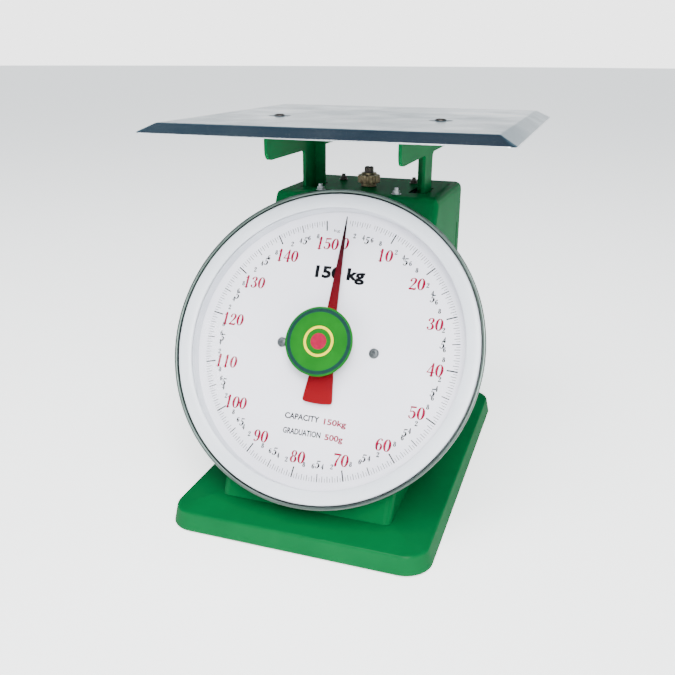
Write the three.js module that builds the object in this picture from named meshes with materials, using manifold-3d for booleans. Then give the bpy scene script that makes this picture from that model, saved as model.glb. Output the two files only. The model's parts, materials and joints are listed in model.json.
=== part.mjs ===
// Mechanical dial platform scale, 150 kg: a pressed base, a housing whose front leans back, a round dial on
// it, and a load platform on two brackets that hang from two extension springs inside.
// Millimetres, +Z up, the dial faces -Y, and the origin is on the floor below the middle of the whole scale.
import * as THREE from "three";
import { mergeVertices } from "three/addons/utils/BufferGeometryUtils.js";
import Module from "manifold-3d";

const wasm = await Module();
wasm.setup();

// ---- Driving dimensions ----
const clearance = 0.3; // between pieces that touch or fit
const runningGap = 0.4; // round a pin that moves in its hole
const sheet = 1.5; // painted steel sheet
const lean = THREE.MathUtils.degToRad(28.9); // the dial and the housing's front lean back by this
const travel = 22; // how far the platform sinks under full load
const dialSweep = THREE.MathUtils.degToRad(350.2); // pointer turn from zero to full load

const baseWidth = 241;
const baseFrontY = -184.5;
const baseBackY = 176;
const baseCornerRadius = 25;
const baseLipZ = 1.5; // the rim stands this far off the floor, on its feet
const skirtHeight = 17.6;
const skirtBatter = 2.6; // how far the skirt leans in
const deckZ = 22.5;
const deckInset = 34;
const footRadius = 9;
const footStemRadius = 4;
const footPadHeight = 7;
const footInset = 22;

const housingWidth = 160;
const housingTopZ = 280;
const housingTopFrontY = -7.7;
const housingBackY = 106.1;
const housingEdgeRadius = 7;
const backFlange = 13; // inward flange that the back cover is screwed to
const backCoverMargin = 4; // the cover stops this far short of the housing's edges
const backCoverCornerRadius = 6;
const backCoverDish = 1.2; // how far the cover's middle is pressed in
const sideSlotY = 91;
const sideSlotZ = 226.5;
const sideSlotWidth = 4;
const sideSlotHeight = 27;
const topScrewX = 37.5;
const topScrewYs = [2, 72];
const topScrewRadius = 2;
const topScrewHeadRadius = 3.6;
const topScrewHeadHeight = 2.8;
const topScrewRise = 6; // the stud's point above the housing's top
const zeroStudRadius = 4.6;
const zeroStudHeadRadius = 8;
const zeroStudRise = 19.5; // above the housing's top
const zeroNutRadius = 11;
const zeroNutLobes = 14;
const zeroNutNeck = 3.5; // the collar shows this far under the knurl
const zeroNutKnurl = 8;
const zeroNutHeight = 13.5;
const hangerPlateThickness = 4;

const dialCentreZ = 153;
const dialPlaneGap = 5.9; // from the housing's front face to the printed face
const caseRadius = 143.6;
const caseDepthFront = 19; // case rim, in front of the printed face
const caseFloor = 1.3;
const caseHoleRadius = 7; // round the pointer's shaft
const bezelRadius = 139.6;
const bezelInnerRadius = 127;
const dialPlateRadius = 131.5;
const dialPlateThickness = 1;
const glassRadius = 133;
const glassThickness = 2.5;
const glassBackOut = 12.7;
const tickRadius = 120;
const dialScrewX = 44;
const dialScrewShank = 2;
const badgeRadius = 31.5;
const badgeThickness = 1;
const badgeX = -3.8; // the badge is stuck on the glass a little off the pointer's axis
const badgeY = 2.9;
const pointerCapRadius = 6;
const pointerCapSkin = 1.4; // over the shaft's end
const shaftEndRise = 3.8; // above the pointer's front
const pointerOut = 4; // back face of the pointer
const pointerThickness = 1;

const platformWidth = 316;
const platformFrontY = -126;
const platformBackY = 184.5;
const platformTopZ = 347.8;
const platformLipZ = 339.6;
const platformBevel = 14.3;
const platformScrewX = 77;
const platformScrewY = -2;
const platformScrewRadius = 2.1;
const platformPanCornerRadius = 7;

const bracketX = 61.1; // outer face of each bracket's web
const bracketThickness = 3;
const postFrontY = 15.7;
const postBackY = 45.8;
const postFlangeWidth = 13.3;
const headFrontY = -75.8;
const headBackY = 132;
const headBottomZ = 315;
const headFlangeWidth = 32;
const headCornerRadius = 10;
const flareReach = 9; // the flange widens inward by this at the top
const flareHeight = 12;

const springX = 28;
const springY = 38;
const springTopZ = 245;
const springBottomZ = 140;
const springMeanRadius = 14;
const springWire = 5.4;
const springTurns = 14;
const yokeZ = 250;
const yokeThickness = 8;
const crossbarZ = 94;
const crossbarThickness = 6;
const crossbarDepth = 28;
const crossbarTabHeight = 26;
const bracketBelowBar = 6; // the posts end this far below the crossbar
const boltRadius = 3;
const boltRise = 16; // above the crossbar's underside
const boltSetback = 6; // in front of the springs' centre line
const plugThreadRadius = 4;
const plugReach = 20; // how far each plug screws into its spring
const plugGap = 1.2; // between a plug and the inside of its spring
const strapHalfHeight = 10;
const strapThickness = 3;
const strapSpringGap = 2.5; // behind the springs

const stayFixedY = 95;
const stayStrapGap = 0.8; // between a level stay's eye and the strap
const stayLowerZ = 86; // fixed pivots
const stayUpperZ = 210;
const stayPinRadius = 2.1;
const stayEyeRadius = 5.2;
const stayWidth = 25;
const earThickness = 3;
const earHalfHeight = 7;
const earReach = 6; // past the moving pin
const mastHalfWidth = 30;
const mastThickness = 3;
const mastBackGap = 2.4; // in front of the housing's back face
const mastTopGap = 18; // below the hanger plate's top
const damperRodRadius = 3;
const damperRadius = 17;
const damperWall = 3;
const pistonZ = 50;
const pistonThickness = 4;
const pistonGap = 0.6;

const pinionTeeth = 10;
const shaftFrontRadius = 2.2;
const shaftRearRadius = 1.5;
const rackOut = -25; // the rack's mid-plane behind the printed face
const rackThickness = 6;
const rackBottom = -28;
const rackTop = 37;
const rackBackX = 13.5;
const rackPinRadius = 2;
const rackPinOut = -29.1; // behind the printed face
const rackArmX = 8;
const rackArmThickness = 3;
const linkThickness = 2.6;
const linkHalfHeight = 6.5;
const linkEndLap = 7; // past the slot's far end
const linkPlateGap = 2.4; // below the movement's rear plate
const movementFrontOut = -8.2;
const movementRearOut = -40;
const movementPlateThickness = 2.2;
const movementHalfX = 52;
const movementHalfY = 26;
const pillarX = 40;
const pillarY = 19;
const pillarRadius = 3.5;
const bushRadius = 4.6;

// ---- Sizes that follow ----
const dialCentreY =
  housingTopFrontY - (housingTopZ - dialCentreZ) * Math.tan(lean) - dialPlaneGap / Math.cos(lean);
const faceOut = -dialPlaneGap; // the housing's front face, in the dial's own frame
const pitchRadius = travel / Math.cos(lean) / dialSweep;
const toothModule = (2 * pitchRadius) / pinionTeeth;
const toothPitch = Math.PI * toothModule;
const strapMiddleY = springY + springMeanRadius + springWire / 2 + strapSpringGap;
const stayLength = stayFixedY - stayEyeRadius - stayStrapGap - strapMiddleY - strapThickness;
const stayAngle = Math.asin(travel / 2 / stayLength);
const stayMovingY = stayFixedY - stayLength * Math.cos(stayAngle);
const postInnerX = bracketX - postFlangeWidth;
const deckTop = deckZ + clearance;
const crossbarTopZ = crossbarZ + crossbarThickness;
const movingPivotRise = travel / 2; // at rest, above the fixed pivot
const hangerPlateTopZ = housingTopZ - sheet - clearance;
const boltY = springY - boltSetback;
const boltZ = crossbarZ + boltRise;
const slotSlide = travel * Math.tan(lean); // how far the load pin moves along the link's slot
const linkEnd = slotSlide + linkEndLap;
const linkRise = linkEnd * Math.sin(lean) + linkHalfHeight * Math.cos(lean);
const rackPinUp = -(movementHalfY + linkPlateGap + linkRise);
const rackPinY = dialCentreY + rackPinUp * Math.sin(lean) - rackPinOut * Math.cos(lean);
const rackPinZ = dialCentreZ + rackPinUp * Math.cos(lean) + rackPinOut * Math.sin(lean);

// ---- Finishes ----
const finish = (color, roughness, metalness, extra = {}) =>
  new THREE.MeshStandardMaterial({ color, roughness, metalness, ...extra });
const greenPaint = finish(0x10864a, 0.35, 0.1);
const stainless = finish(0xc4cacc, 0.28, 0.9);
const zincSteel = finish(0xa9adb0, 0.4, 0.9);
const springSteel = finish(0x6f747a, 0.35, 0.9);
const brass = finish(0xa99568, 0.35, 0.9);
const nickel = finish(0x8c8474, 0.3, 0.95);
const whiteEnamel = finish(0xe6e6ec, 0.45, 0);
const whitePlastic = finish(0xdfe3e4, 0.35, 0);
const clearGlass = finish(0xf4f8f8, 0.05, 0, { transparent: true, opacity: 0.2 });
const redEnamel = finish(0xb0141f, 0.4, 0);
const greenEnamel = finish(0x2f9a35, 0.4, 0);
const blackRubber = finish(0x1d1d1f, 0.85, 0);

// ---- Shape tools ----
// A closed mesh as a solid for joining and cutting.
function solid(geometry) {
  const bare = geometry.index ? geometry.toNonIndexed() : geometry.clone();
  bare.deleteAttribute("normal");
  bare.deleteAttribute("uv");
  const merged = mergeVertices(bare, 1e-4);
  return new wasm.Manifold(
    new wasm.Mesh({
      numProp: 3,
      vertProperties: merged.attributes.position.array,
      triVerts: new Uint32Array(merged.index.array),
    }),
  );
}

// A solid back as a mesh geometry.
function geometryOf(made) {
  const mesh = made.getMesh();
  const geometry = new THREE.BufferGeometry();
  geometry.setAttribute("position", new THREE.BufferAttribute(new Float32Array(mesh.vertProperties), 3));
  geometry.setIndex(new THREE.BufferAttribute(new Uint32Array(mesh.triVerts), 1));
  geometry.computeVertexNormals();
  return geometry;
}

const union = (first, ...rest) => rest.reduce((sum, g) => sum.add(solid(g)), solid(first));
const cut = (from, ...tools) => tools.reduce((left, g) => left.subtract(solid(g)), from);

function box(x0, x1, y0, y1, z0, z1) {
  const geometry = new THREE.BoxGeometry(x1 - x0, y1 - y0, z1 - z0);
  return geometry.translate((x0 + x1) / 2, (y0 + y1) / 2, (z0 + z1) / 2);
}

// A round bar along X, Y or Z, from one end to the other.
function rod(axis, radius, from, to, across, up, sides = 14) {
  const geometry = new THREE.CylinderGeometry(radius, radius, to - from, sides);
  const middle = (from + to) / 2;
  if (axis === "x") return geometry.rotateZ(-Math.PI / 2).translate(middle, across, up);
  if (axis === "y") return geometry.translate(across, middle, up);
  return geometry.rotateX(Math.PI / 2).translate(across, up, middle);
}

// A flat shape given thickness along an axis.
// Along X the shape is in (y, z), along Y in (x, z), and along Z in (x, y).
function plate(shape, axis, from, to, curveSegments = 4) {
  const options = { depth: to - from, bevelEnabled: false, curveSegments };
  const geometry = new THREE.ExtrudeGeometry(shape, options);
  if (axis === "x") {
    const turn = new THREE.Matrix4().makeBasis(
      new THREE.Vector3(0, 1, 0),
      new THREE.Vector3(0, 0, 1),
      new THREE.Vector3(1, 0, 0),
    );
    return geometry.applyMatrix4(turn).translate(from, 0, 0);
  }
  if (axis === "y") return geometry.rotateX(Math.PI / 2).translate(0, to, 0);
  return geometry.translate(0, 0, from);
}

// A polygon whose corners are rounded off: each corner is [a, b] or [a, b, radius].
function roundedPolygon(corners) {
  const shape = new THREE.Shape();
  corners.forEach((corner, i) => {
    const before = new THREE.Vector2(...corners[(i + corners.length - 1) % corners.length]);
    const after = new THREE.Vector2(...corners[(i + 1) % corners.length]);
    const here = new THREE.Vector2(corner[0], corner[1]);
    const toBefore = before.clone().sub(here);
    const toAfter = after.clone().sub(here);
    const reach = Math.min(corner[2] || 0, toBefore.length() * 0.49, toAfter.length() * 0.49);
    const start = here.clone().add(toBefore.setLength(reach));
    const end = here.clone().add(toAfter.setLength(reach));
    if (i === 0) shape.moveTo(start.x, start.y);
    else shape.lineTo(start.x, start.y);
    if (reach > 0) shape.quadraticCurveTo(here.x, here.y, end.x, end.y);
  });
  shape.closePath();
  return shape;
}

const roundedRect = (a0, a1, b0, b1, r) =>
  roundedPolygon([[a0, b0, r], [a1, b0, r], [a1, b1, r], [a0, b1, r]]);

// A round outline with straight sides.
// A bore's sides touch its true circle from outside, so that a pin still fits.
function circleShape(radius, a = 0, b = 0, sides = 16, isBore = true) {
  const corner = isBore ? radius / Math.cos(Math.PI / sides) : radius;
  const points = [];
  for (let k = 0; k < sides; k += 1) {
    const angle = (2 * Math.PI * k) / sides;
    points.push(new THREE.Vector2(a + corner * Math.cos(angle), b + corner * Math.sin(angle)));
  }
  return new THREE.Shape(points);
}

// A turned piece about Z from a closed profile of [radius, height] points.
function turned(profile, sides = 32) {
  const points = profile.map(([r, h]) => new THREE.Vector2(r, h));
  const onAxis = profile[0][0] === 0 && profile[profile.length - 1][0] === 0;
  if (!onAxis) points.push(points[0].clone());
  const area = points.reduce((sum, p, i) => {
    const q = points[(i + 1) % points.length];
    return sum + p.x * q.y - q.x * p.y;
  }, 0);
  if (area < 0) points.reverse();
  return new THREE.LatheGeometry(points, sides).rotateX(Math.PI / 2);
}

// A thin pressed pan: rounded rectangles joined from the middle of the top, over the rim, to the middle of
// the underside. Each ring is [inset, height], and the corner radius shrinks with the inset.
function pressedPan(halfWidth, frontY, backY, cornerRadius, rings) {
  const steps = 5;
  const positions = [];
  const index = [];
  const perRing = 4 * (steps + 1);
  const centre = (height) => positions.push(0, (frontY + backY) / 2, height);
  rings.forEach(([inset, height]) => {
    const radius = Math.max(cornerRadius - inset, 2);
    const x = halfWidth - inset - radius;
    const centres = [
      [x, backY - inset - radius],
      [-x, backY - inset - radius],
      [-x, frontY + inset + radius],
      [x, frontY + inset + radius],
    ];
    centres.forEach(([cx, cy], quarter) => {
      for (let k = 0; k <= steps; k += 1) {
        const angle = ((quarter + k / steps) * Math.PI) / 2;
        positions.push(cx + radius * Math.cos(angle), cy + radius * Math.sin(angle), height);
      }
    });
  });
  centre(rings[0][1]);
  centre(rings[rings.length - 1][1]);
  const topCentre = rings.length * perRing;
  const lastRing = (rings.length - 1) * perRing;
  for (let j = 0; j < perRing; j += 1) {
    const next = (j + 1) % perRing;
    index.push(topCentre, j, next);
    index.push(topCentre + 1, lastRing + next, lastRing + j);
    for (let ring = 0; ring < rings.length - 1; ring += 1) {
      const upper = ring * perRing;
      const lower = upper + perRing;
      index.push(upper + j, lower + j, lower + next);
      index.push(upper + j, lower + next, upper + next);
    }
  }
  const geometry = new THREE.BufferGeometry();
  geometry.setAttribute("position", new THREE.Float32BufferAttribute(positions, 3));
  geometry.setIndex(index);
  geometry.computeVertexNormals();
  return geometry;
}

// A coil spring's wire on a helix about a vertical line.
class Helix extends THREE.Curve {
  constructor(radius, bottom, top, turns) {
    super();
    Object.assign(this, { radius, bottom, top, turns });
  }

  getPoint(t, target = new THREE.Vector3()) {
    const angle = 2 * Math.PI * this.turns * t;
    const height = THREE.MathUtils.lerp(this.bottom, this.top, t);
    return target.set(this.radius * Math.cos(angle), this.radius * Math.sin(angle), height);
  }
}

function addPart(group, name, made, material) {
  const geometry = made.isBufferGeometry ? made : geometryOf(made);
  const mesh = new THREE.Mesh(geometry, material);
  mesh.name = name;
  group.add(mesh);
  return mesh;
}

// ---- Base ----
function basePan() {
  const crownStart = skirtBatter + 1.6;
  const rings = [
    [deckInset, deckZ],
    [crownStart, skirtHeight + 0.4],
    [skirtBatter, skirtHeight - 1.6],
    [0, baseLipZ],
    [sheet, baseLipZ],
    [skirtBatter + sheet, skirtHeight - 1.6 - sheet],
    [crownStart + 1, skirtHeight + 0.4 - sheet],
    [deckInset, deckZ - sheet],
  ];
  return pressedPan(baseWidth / 2, baseFrontY, baseBackY, baseCornerRadius, rings);
}

// A foot is a rubber pad on a stem that reaches up to the underside of the pan.
function rubberFoot() {
  const top = skirtHeight - sheet - clearance - 0.6;
  const pad = footPadHeight;
  const stem = footStemRadius;
  return turned(
    [[0, 0], [footRadius - 1, 0], [footRadius, 1], [footRadius - 0.5, pad - 1], [stem, pad], [stem, top],
      [0, top]],
    20,
  );
}

// ---- Housing ----
// The outer form, or with an inset the space inside: leaning front, rounded top edges and rounded corners.
function housingForm(inset, bottomZ) {
  const top = housingTopZ - inset;
  const back = housingBackY - inset;
  const half = housingWidth / 2 - inset;
  const radius = housingEdgeRadius - inset;
  const frontAt = (z) =>
    housingTopFrontY - (housingTopZ - z) * Math.tan(lean) + inset / Math.cos(lean);
  const side = roundedPolygon([
    [frontAt(bottomZ), bottomZ],
    [back, bottomZ],
    [back, top, radius],
    [frontAt(top), top, radius],
  ]);
  const front = roundedPolygon([
    [-half, bottomZ],
    [half, bottomZ],
    [half, top, radius + 2],
    [-half, top, radius + 2],
  ]);
  const deep = 400; // past every face that the other two forms set
  const plan = roundedPolygon([
    [-half, frontAt(top), radius],
    [half, frontAt(top), radius],
    [half, frontAt(top) + deep],
    [-half, frontAt(top) + deep],
  ]);
  const shear = new THREE.Matrix4().makeShear(0, 0, 0, 0, 0, Math.tan(lean));
  const leaning = plate(plan, "z", bottomZ - top, 1).applyMatrix4(shear).translate(0, 0, top);
  const fromSide = solid(plate(side, "x", -half - 1, half + 1));
  const fromFront = solid(plate(front, "y", frontAt(bottomZ) - deep, back + deep));
  return fromSide.intersect(fromFront).intersect(solid(leaning));
}

function sideSlots() {
  const halfWidth = sideSlotWidth / 2;
  const halfHeight = sideSlotHeight / 2;
  const slot = roundedRect(
    sideSlotY - halfWidth,
    sideSlotY + halfWidth,
    sideSlotZ - halfHeight,
    sideSlotZ + halfHeight,
    1.5,
  );
  return plate(slot, "x", -housingWidth, housingWidth);
}

function topHoles() {
  const slotGap = 2.2;
  const reach = 5; // past both faces of the sheet
  const [low, high] = [housingTopZ - reach, housingTopZ + reach];
  const holes = [];
  for (const side of [-1, 1]) {
    const inner = side * (postInnerX - slotGap);
    const outer = side * (bracketX + slotGap);
    const [x0, x1] = [Math.min(inner, outer), Math.max(inner, outer)];
    holes.push(box(x0, x1, postFrontY - slotGap, postBackY + slotGap, low, high));
    for (const y of topScrewYs) {
      holes.push(rod("z", topScrewRadius + clearance, low, high, side * topScrewX, y, 12));
    }
  }
  holes.push(rod("z", zeroStudRadius + 1.5, low, high, 0, springY));
  return holes;
}

// Holes through the leaning front for the pointer's shaft and the dial screws, in the dial's own frame.
function frontHoles() {
  const reach = 6; // past both faces of the sheet
  const through = [rod("z", caseHoleRadius, faceOut - reach, faceOut + reach, 0, 0)];
  for (const x of [-dialScrewX, dialScrewX]) {
    through.push(rod("z", dialScrewShank + clearance, faceOut - reach, faceOut + reach, x, 0, 12));
  }
  return through.map((geometry) => geometry.applyMatrix4(dialFrame.matrixWorld));
}

function housingShell() {
  const shell = housingForm(0, deckTop).subtract(housingForm(sheet, deckTop - 20));
  const half = housingWidth / 2 - backFlange;
  const opening = roundedRect(-half, half, deckTop + backFlange, housingTopZ - backFlange, 6);
  const back = plate(opening, "y", housingBackY - 5, housingBackY + 5);
  return cut(shell, back, sideSlots(), ...topHoles(), ...frontHoles());
}

// A flat lid with its middle pressed in by backCoverDish, so that it drops into the opening.
function backCover() {
  const half = housingWidth / 2 - backCoverMargin;
  const bottom = deckTop + 2.5;
  const top = housingTopZ - backCoverCornerRadius;
  const lid = roundedRect(-half, half, bottom, top, backCoverCornerRadius);
  const dishEdge = backFlange + 1;
  const dishShape = (inset) =>
    roundedRect(
      -housingWidth / 2 + dishEdge + inset,
      housingWidth / 2 - dishEdge - inset,
      deckTop + dishEdge + inset,
      housingTopZ - dishEdge - inset,
      backCoverCornerRadius,
    );
  const innerY = housingBackY + clearance;
  const outerY = innerY + sheet;
  const pressed = union(
    plate(lid, "y", innerY, outerY),
    plate(dishShape(0), "y", innerY - backCoverDish, outerY),
  );
  return cut(pressed, plate(dishShape(sheet), "y", outerY - backCoverDish, outerY + 1));
}

// ---- Top plate and zero adjuster ----
function hangerPlate() {
  const half = postInnerX - 4;
  const outline = roundedRect(-half, half, topScrewYs[0] - 5, topScrewYs[1] + 7, 5);
  outline.holes.push(circleShape(zeroStudRadius + runningGap, 0, springY));
  for (const y of topScrewYs) {
    for (const x of [-topScrewX, topScrewX]) {
      outline.holes.push(circleShape(topScrewRadius + clearance, x, y));
    }
  }
  return plate(outline, "z", hangerPlateTopZ - hangerPlateThickness, hangerPlateTopZ, 5);
}

// A hexagon-headed screw with the point of its stud showing above the head.
function topScrew() {
  const radius = topScrewHeadRadius;
  const head = new THREE.CylinderGeometry(radius, radius, topScrewHeadHeight, 6).rotateX(Math.PI / 2);
  head.translate(0, 0, housingTopZ + clearance + topScrewHeadHeight / 2);
  const bottom = hangerPlateTopZ - hangerPlateThickness - 3;
  return union(head, rod("z", topScrewRadius, bottom, housingTopZ + topScrewRise, 0, 0, 12));
}

// Each lobe of the knurl has four points: the crest, a shoulder, the groove and a shoulder.
function zeroNut() {
  const depths = [0, 0.35, 1.1, 0.35];
  const outline = new THREE.Shape(
    Array.from({ length: depths.length * zeroNutLobes }, (unused, k) => {
      const angle = (2 * Math.PI * k) / (depths.length * zeroNutLobes);
      const radius = zeroNutRadius - depths[k % depths.length];
      return new THREE.Vector2(radius * Math.cos(angle), radius * Math.sin(angle));
    }),
  );
  const bottom = housingTopZ + clearance;
  const top = bottom + zeroNutHeight;
  const knurled = plate(outline, "z", bottom + zeroNutNeck, bottom + zeroNutNeck + zeroNutKnurl);
  const collar = rod("z", zeroNutRadius - 3.5, bottom, top, 0, 0, 24);
  const bore = rod("z", zeroStudRadius + clearance, bottom - 1, top + 1, 0, 0);
  return cut(union(knurled, collar), bore);
}

function zeroStud() {
  const under = yokeZ - clearance;
  const top = housingTopZ + zeroStudRise;
  const wide = zeroStudHeadRadius;
  const body = turned(
    [[0, under - 5], [wide, under - 5], [wide, under], [zeroStudRadius, under], [zeroStudRadius, top - 1],
      [zeroStudRadius - 1, top], [0, top]],
    18,
  );
  return cut(solid(body), box(-0.7, 0.7, -wide, wide, top - 2, top + 1));
}

function yoke() {
  const half = postInnerX - 2;
  const outline = roundedRect(-half, half, springY - crossbarDepth / 2, springY + crossbarDepth / 2, 5);
  outline.holes.push(circleShape(zeroStudRadius + clearance, 0, springY));
  for (const x of [-springX, springX]) {
    outline.holes.push(circleShape(plugThreadRadius + clearance, x, springY));
  }
  return plate(outline, "z", yokeZ, yokeZ + yokeThickness);
}

// ---- Springs ----
const plugRadius = springMeanRadius - springWire / 2 - plugGap;
const plugFlangeRadius = springMeanRadius + springWire / 2;

function springPlugTop() {
  const under = yokeZ - clearance;
  const flangeBottom = springTopZ + springWire / 2 + clearance;
  const end = yokeZ + yokeThickness + 3;
  return turned(
    [[0, flangeBottom - plugReach], [plugRadius, flangeBottom - plugReach], [plugRadius, flangeBottom],
      [plugFlangeRadius, flangeBottom], [plugFlangeRadius, under], [plugThreadRadius, under],
      [plugThreadRadius, end], [0, end]],
    18,
  );
}

function springPlugBottom() {
  const flangeTop = springBottomZ - springWire / 2 - clearance;
  const flangeBottom = flangeTop - 4;
  const seat = crossbarTopZ + clearance;
  const neck = 6.5;
  const end = crossbarZ - 3;
  return turned(
    [[0, end], [plugThreadRadius, end], [plugThreadRadius, seat], [neck, seat], [neck, flangeBottom],
      [plugFlangeRadius, flangeBottom], [plugFlangeRadius, flangeTop], [plugRadius, flangeTop],
      [plugRadius, flangeTop + plugReach], [0, flangeTop + plugReach]],
    18,
  );
}

function mainSpring() {
  const path = new Helix(springMeanRadius, springBottomZ, springTopZ, springTurns);
  const wire = circleShape(springWire / 2, 0, 0, 6, false);
  return new THREE.ExtrudeGeometry(wire, { extrudePath: path, steps: springTurns * 10 });
}

// ---- Load frame ----
// An L-section post with a long head under the platform.
// It is drawn for the right side, and mirrored for the left.
function bracket(side) {
  const top = platformTopZ - sheet - clearance;
  const bottom = crossbarZ - bracketBelowBar;
  const web = roundedPolygon([
    [postFrontY, bottom],
    [postBackY, bottom],
    [postBackY, headBottomZ, 8],
    [headBackY, headBottomZ, headCornerRadius],
    [headBackY, top],
    [headFrontY, top],
    [headFrontY, headBottomZ, headCornerRadius],
    [postFrontY, headBottomZ, 5],
  ]);
  const flange = roundedPolygon([
    [postInnerX, bottom],
    [bracketX, bottom],
    [bracketX, top],
    [postInnerX - flareReach, top],
    [postInnerX, top - flareHeight, flareReach],
  ]);
  const head = roundedRect(bracketX - bracketThickness, bracketX + headFlangeWidth, headFrontY, headBackY, 3);
  const joined = union(
    plate(web, "x", bracketX - bracketThickness, bracketX),
    plate(flange, "y", postBackY - bracketThickness, postBackY),
    plate(head, "z", top - bracketThickness, top),
  );
  const screwHoleRadius = platformScrewRadius + runningGap;
  const screwHole = rod("z", screwHoleRadius, top - 10, top + 10, platformScrewX, platformScrewY, 12);
  const boltHole = rod("x", boltRadius + clearance, bracketX - 10, bracketX + 10, boltY, boltZ, 12);
  const made = cut(joined, screwHole, boltHole);
  return side > 0 ? made : made.mirror([1, 0, 0]);
}

function platformPan() {
  const rings = [
    [platformBevel, platformTopZ],
    [1.2, platformLipZ + 1.6],
    [0, platformLipZ + 0.9],
    [0.3, platformLipZ],
    [1.6, platformLipZ],
    [2, platformLipZ + 0.8],
    [platformBevel + 0.6, platformTopZ - sheet],
  ];
  const pan = pressedPan(platformWidth / 2, platformFrontY, platformBackY, platformPanCornerRadius, rings);
  const holes = [-platformScrewX, platformScrewX].map((x) =>
    rod("z", platformScrewRadius + runningGap, platformTopZ - 5, platformTopZ + 5, x, platformScrewY, 12),
  );
  return cut(solid(pan), ...holes);
}

function platformScrew() {
  const under = platformTopZ + clearance - 0.1;
  const end = platformTopZ - 12;
  const shank = platformScrewRadius;
  return turned([[0, end], [shank, end], [shank, under], [5, under], [4.4, under + 1], [0, under + 1.5]], 16);
}

// The lower bar joins the two posts, carries the springs' plugs and ends in ears for the lower stay.
function crossbar() {
  const outerX = bracketX - bracketThickness - clearance;
  const tabInnerX = outerX - 3;
  const tabTopZ = crossbarZ + crossbarTabHeight;
  const profile = roundedPolygon([
    [-outerX, crossbarZ, 2],
    [outerX, crossbarZ, 2],
    [outerX, tabTopZ],
    [tabInnerX, tabTopZ],
    [tabInnerX, crossbarTopZ],
    [-tabInnerX, crossbarTopZ],
    [-tabInnerX, tabTopZ],
    [-outerX, tabTopZ],
  ]);
  const front = springY - crossbarDepth / 2;
  const back = springY + crossbarDepth / 2;
  const flangeFrontY = postBackY - bracketThickness;
  const tongue = stayWidth / 2 + earThickness + 14;
  const pinZ = stayLowerZ + movingPivotRise;
  const joined = union(
    plate(profile, "y", front, flangeFrontY - clearance),
    box(-tongue, tongue, flangeFrontY - 1, back, crossbarZ, crossbarTopZ),
    ...ears(back - 2, pinZ),
  );
  const [low, high] = [crossbarZ - 10, crossbarTopZ + 10];
  return cut(
    joined,
    rod("z", plugThreadRadius + clearance, low, high, -springX, springY),
    rod("z", plugThreadRadius + clearance, low, high, springX, springY),
    rod("z", damperRodRadius + clearance, low, high, 0, springY),
    rod("x", stayPinRadius + clearance, -tongue, tongue, stayMovingY, pinZ, 16),
    rod("x", boltRadius + clearance, -bracketX, bracketX, boltY, boltZ, 12),
  );
}

// Two ears that hold a stay's moving pin, from a rear edge back past the pin.
function ears(fromY, z) {
  const half = stayWidth / 2 + runningGap;
  const outline = roundedRect(fromY, stayMovingY + earReach, z - earHalfHeight, z + earHalfHeight, 5);
  return [
    plate(outline, "x", half, half + earThickness),
    plate(outline, "x", -half - earThickness, -half),
  ];
}

// The upper strap is screwed to the posts' flanges and is joggled back, clear of the springs.
function strap() {
  const front = postBackY + clearance;
  const back = front + strapThickness;
  const joggleBack = strapMiddleY + strapThickness;
  const outer = bracketX;
  const inner = postInnerX - 2;
  const outline = roundedPolygon([
    [outer, front], [outer, back], [inner + 2, back], [inner - 1, joggleBack], [-inner + 1, joggleBack],
    [-inner - 2, back], [-outer, back], [-outer, front], [-inner + 1, front], [-inner + 4, strapMiddleY],
    [inner - 4, strapMiddleY], [inner - 1, front],
  ]);
  const z = stayUpperZ + movingPivotRise;
  const band = plate(outline, "z", z - strapHalfHeight, z + strapHalfHeight);
  const pinHole = rod("x", stayPinRadius + clearance, -inner, inner, stayMovingY, z, 16);
  return cut(union(band, ...ears(strapMiddleY + 1, z)), pinHole);
}

// A bolt through a post's web and the crossbar's end tab, with its head outside.
function cradleBolt(side) {
  const head = bracketX + clearance;
  const headHeight = 3.5;
  const hex = new THREE.CylinderGeometry(5.5, 5.5, headHeight, 6).rotateZ(Math.PI / 2);
  hex.translate(head + headHeight / 2, boltY, boltZ);
  const made = union(hex, rod("x", boltRadius, head - 14, head + 1, boltY, boltZ, 16));
  return side > 0 ? made : made.mirror([1, 0, 0]);
}

// The rod ends in a piston that has play in the cylinder.
function damperRod() {
  const seat = crossbarTopZ + clearance;
  const piston = damperRadius - damperWall - pistonGap;
  const rodRadius = damperRodRadius;
  const pistonTop = pistonZ + pistonThickness;
  return turned(
    [[0, pistonZ], [piston, pistonZ], [piston, pistonTop], [rodRadius, pistonTop], [rodRadius, seat],
      [6, seat], [6, seat + 4], [0, seat + 4]],
    18,
  );
}

function damperCylinder() {
  const top = crossbarZ - travel - 8;
  const inner = damperRadius - damperWall;
  return turned(
    [[0, deckTop], [damperRadius, deckTop], [damperRadius, top], [inner, top], [inner, deckTop + sheet],
      [0, deckTop + sheet]],
    18,
  );
}

// ---- Stays: two short links that keep the load frame upright ----
// The eye on the moving pin is a slot, because the pin's distance changes a little as the link swings.
function stay() {
  const slack = stayLength * (1 - Math.cos(stayAngle)) + runningGap;
  const far = stayLength + runningGap / 2;
  const body = new THREE.Shape();
  body.absarc(0, 0, stayEyeRadius, -Math.PI / 2, Math.PI / 2);
  body.absarc(-far, 0, stayEyeRadius, Math.PI / 2, 1.5 * Math.PI);
  body.holes.push(circleShape(stayPinRadius + runningGap));
  const slot = new THREE.Path();
  slot.absarc(-far + slack, 0, stayPinRadius + runningGap, -Math.PI / 2, Math.PI / 2);
  slot.absarc(-far, 0, stayPinRadius + runningGap, Math.PI / 2, 1.5 * Math.PI);
  body.holes.push(slot);
  return plate(body, "x", -stayWidth / 2, stayWidth / 2, 5);
}

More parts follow.
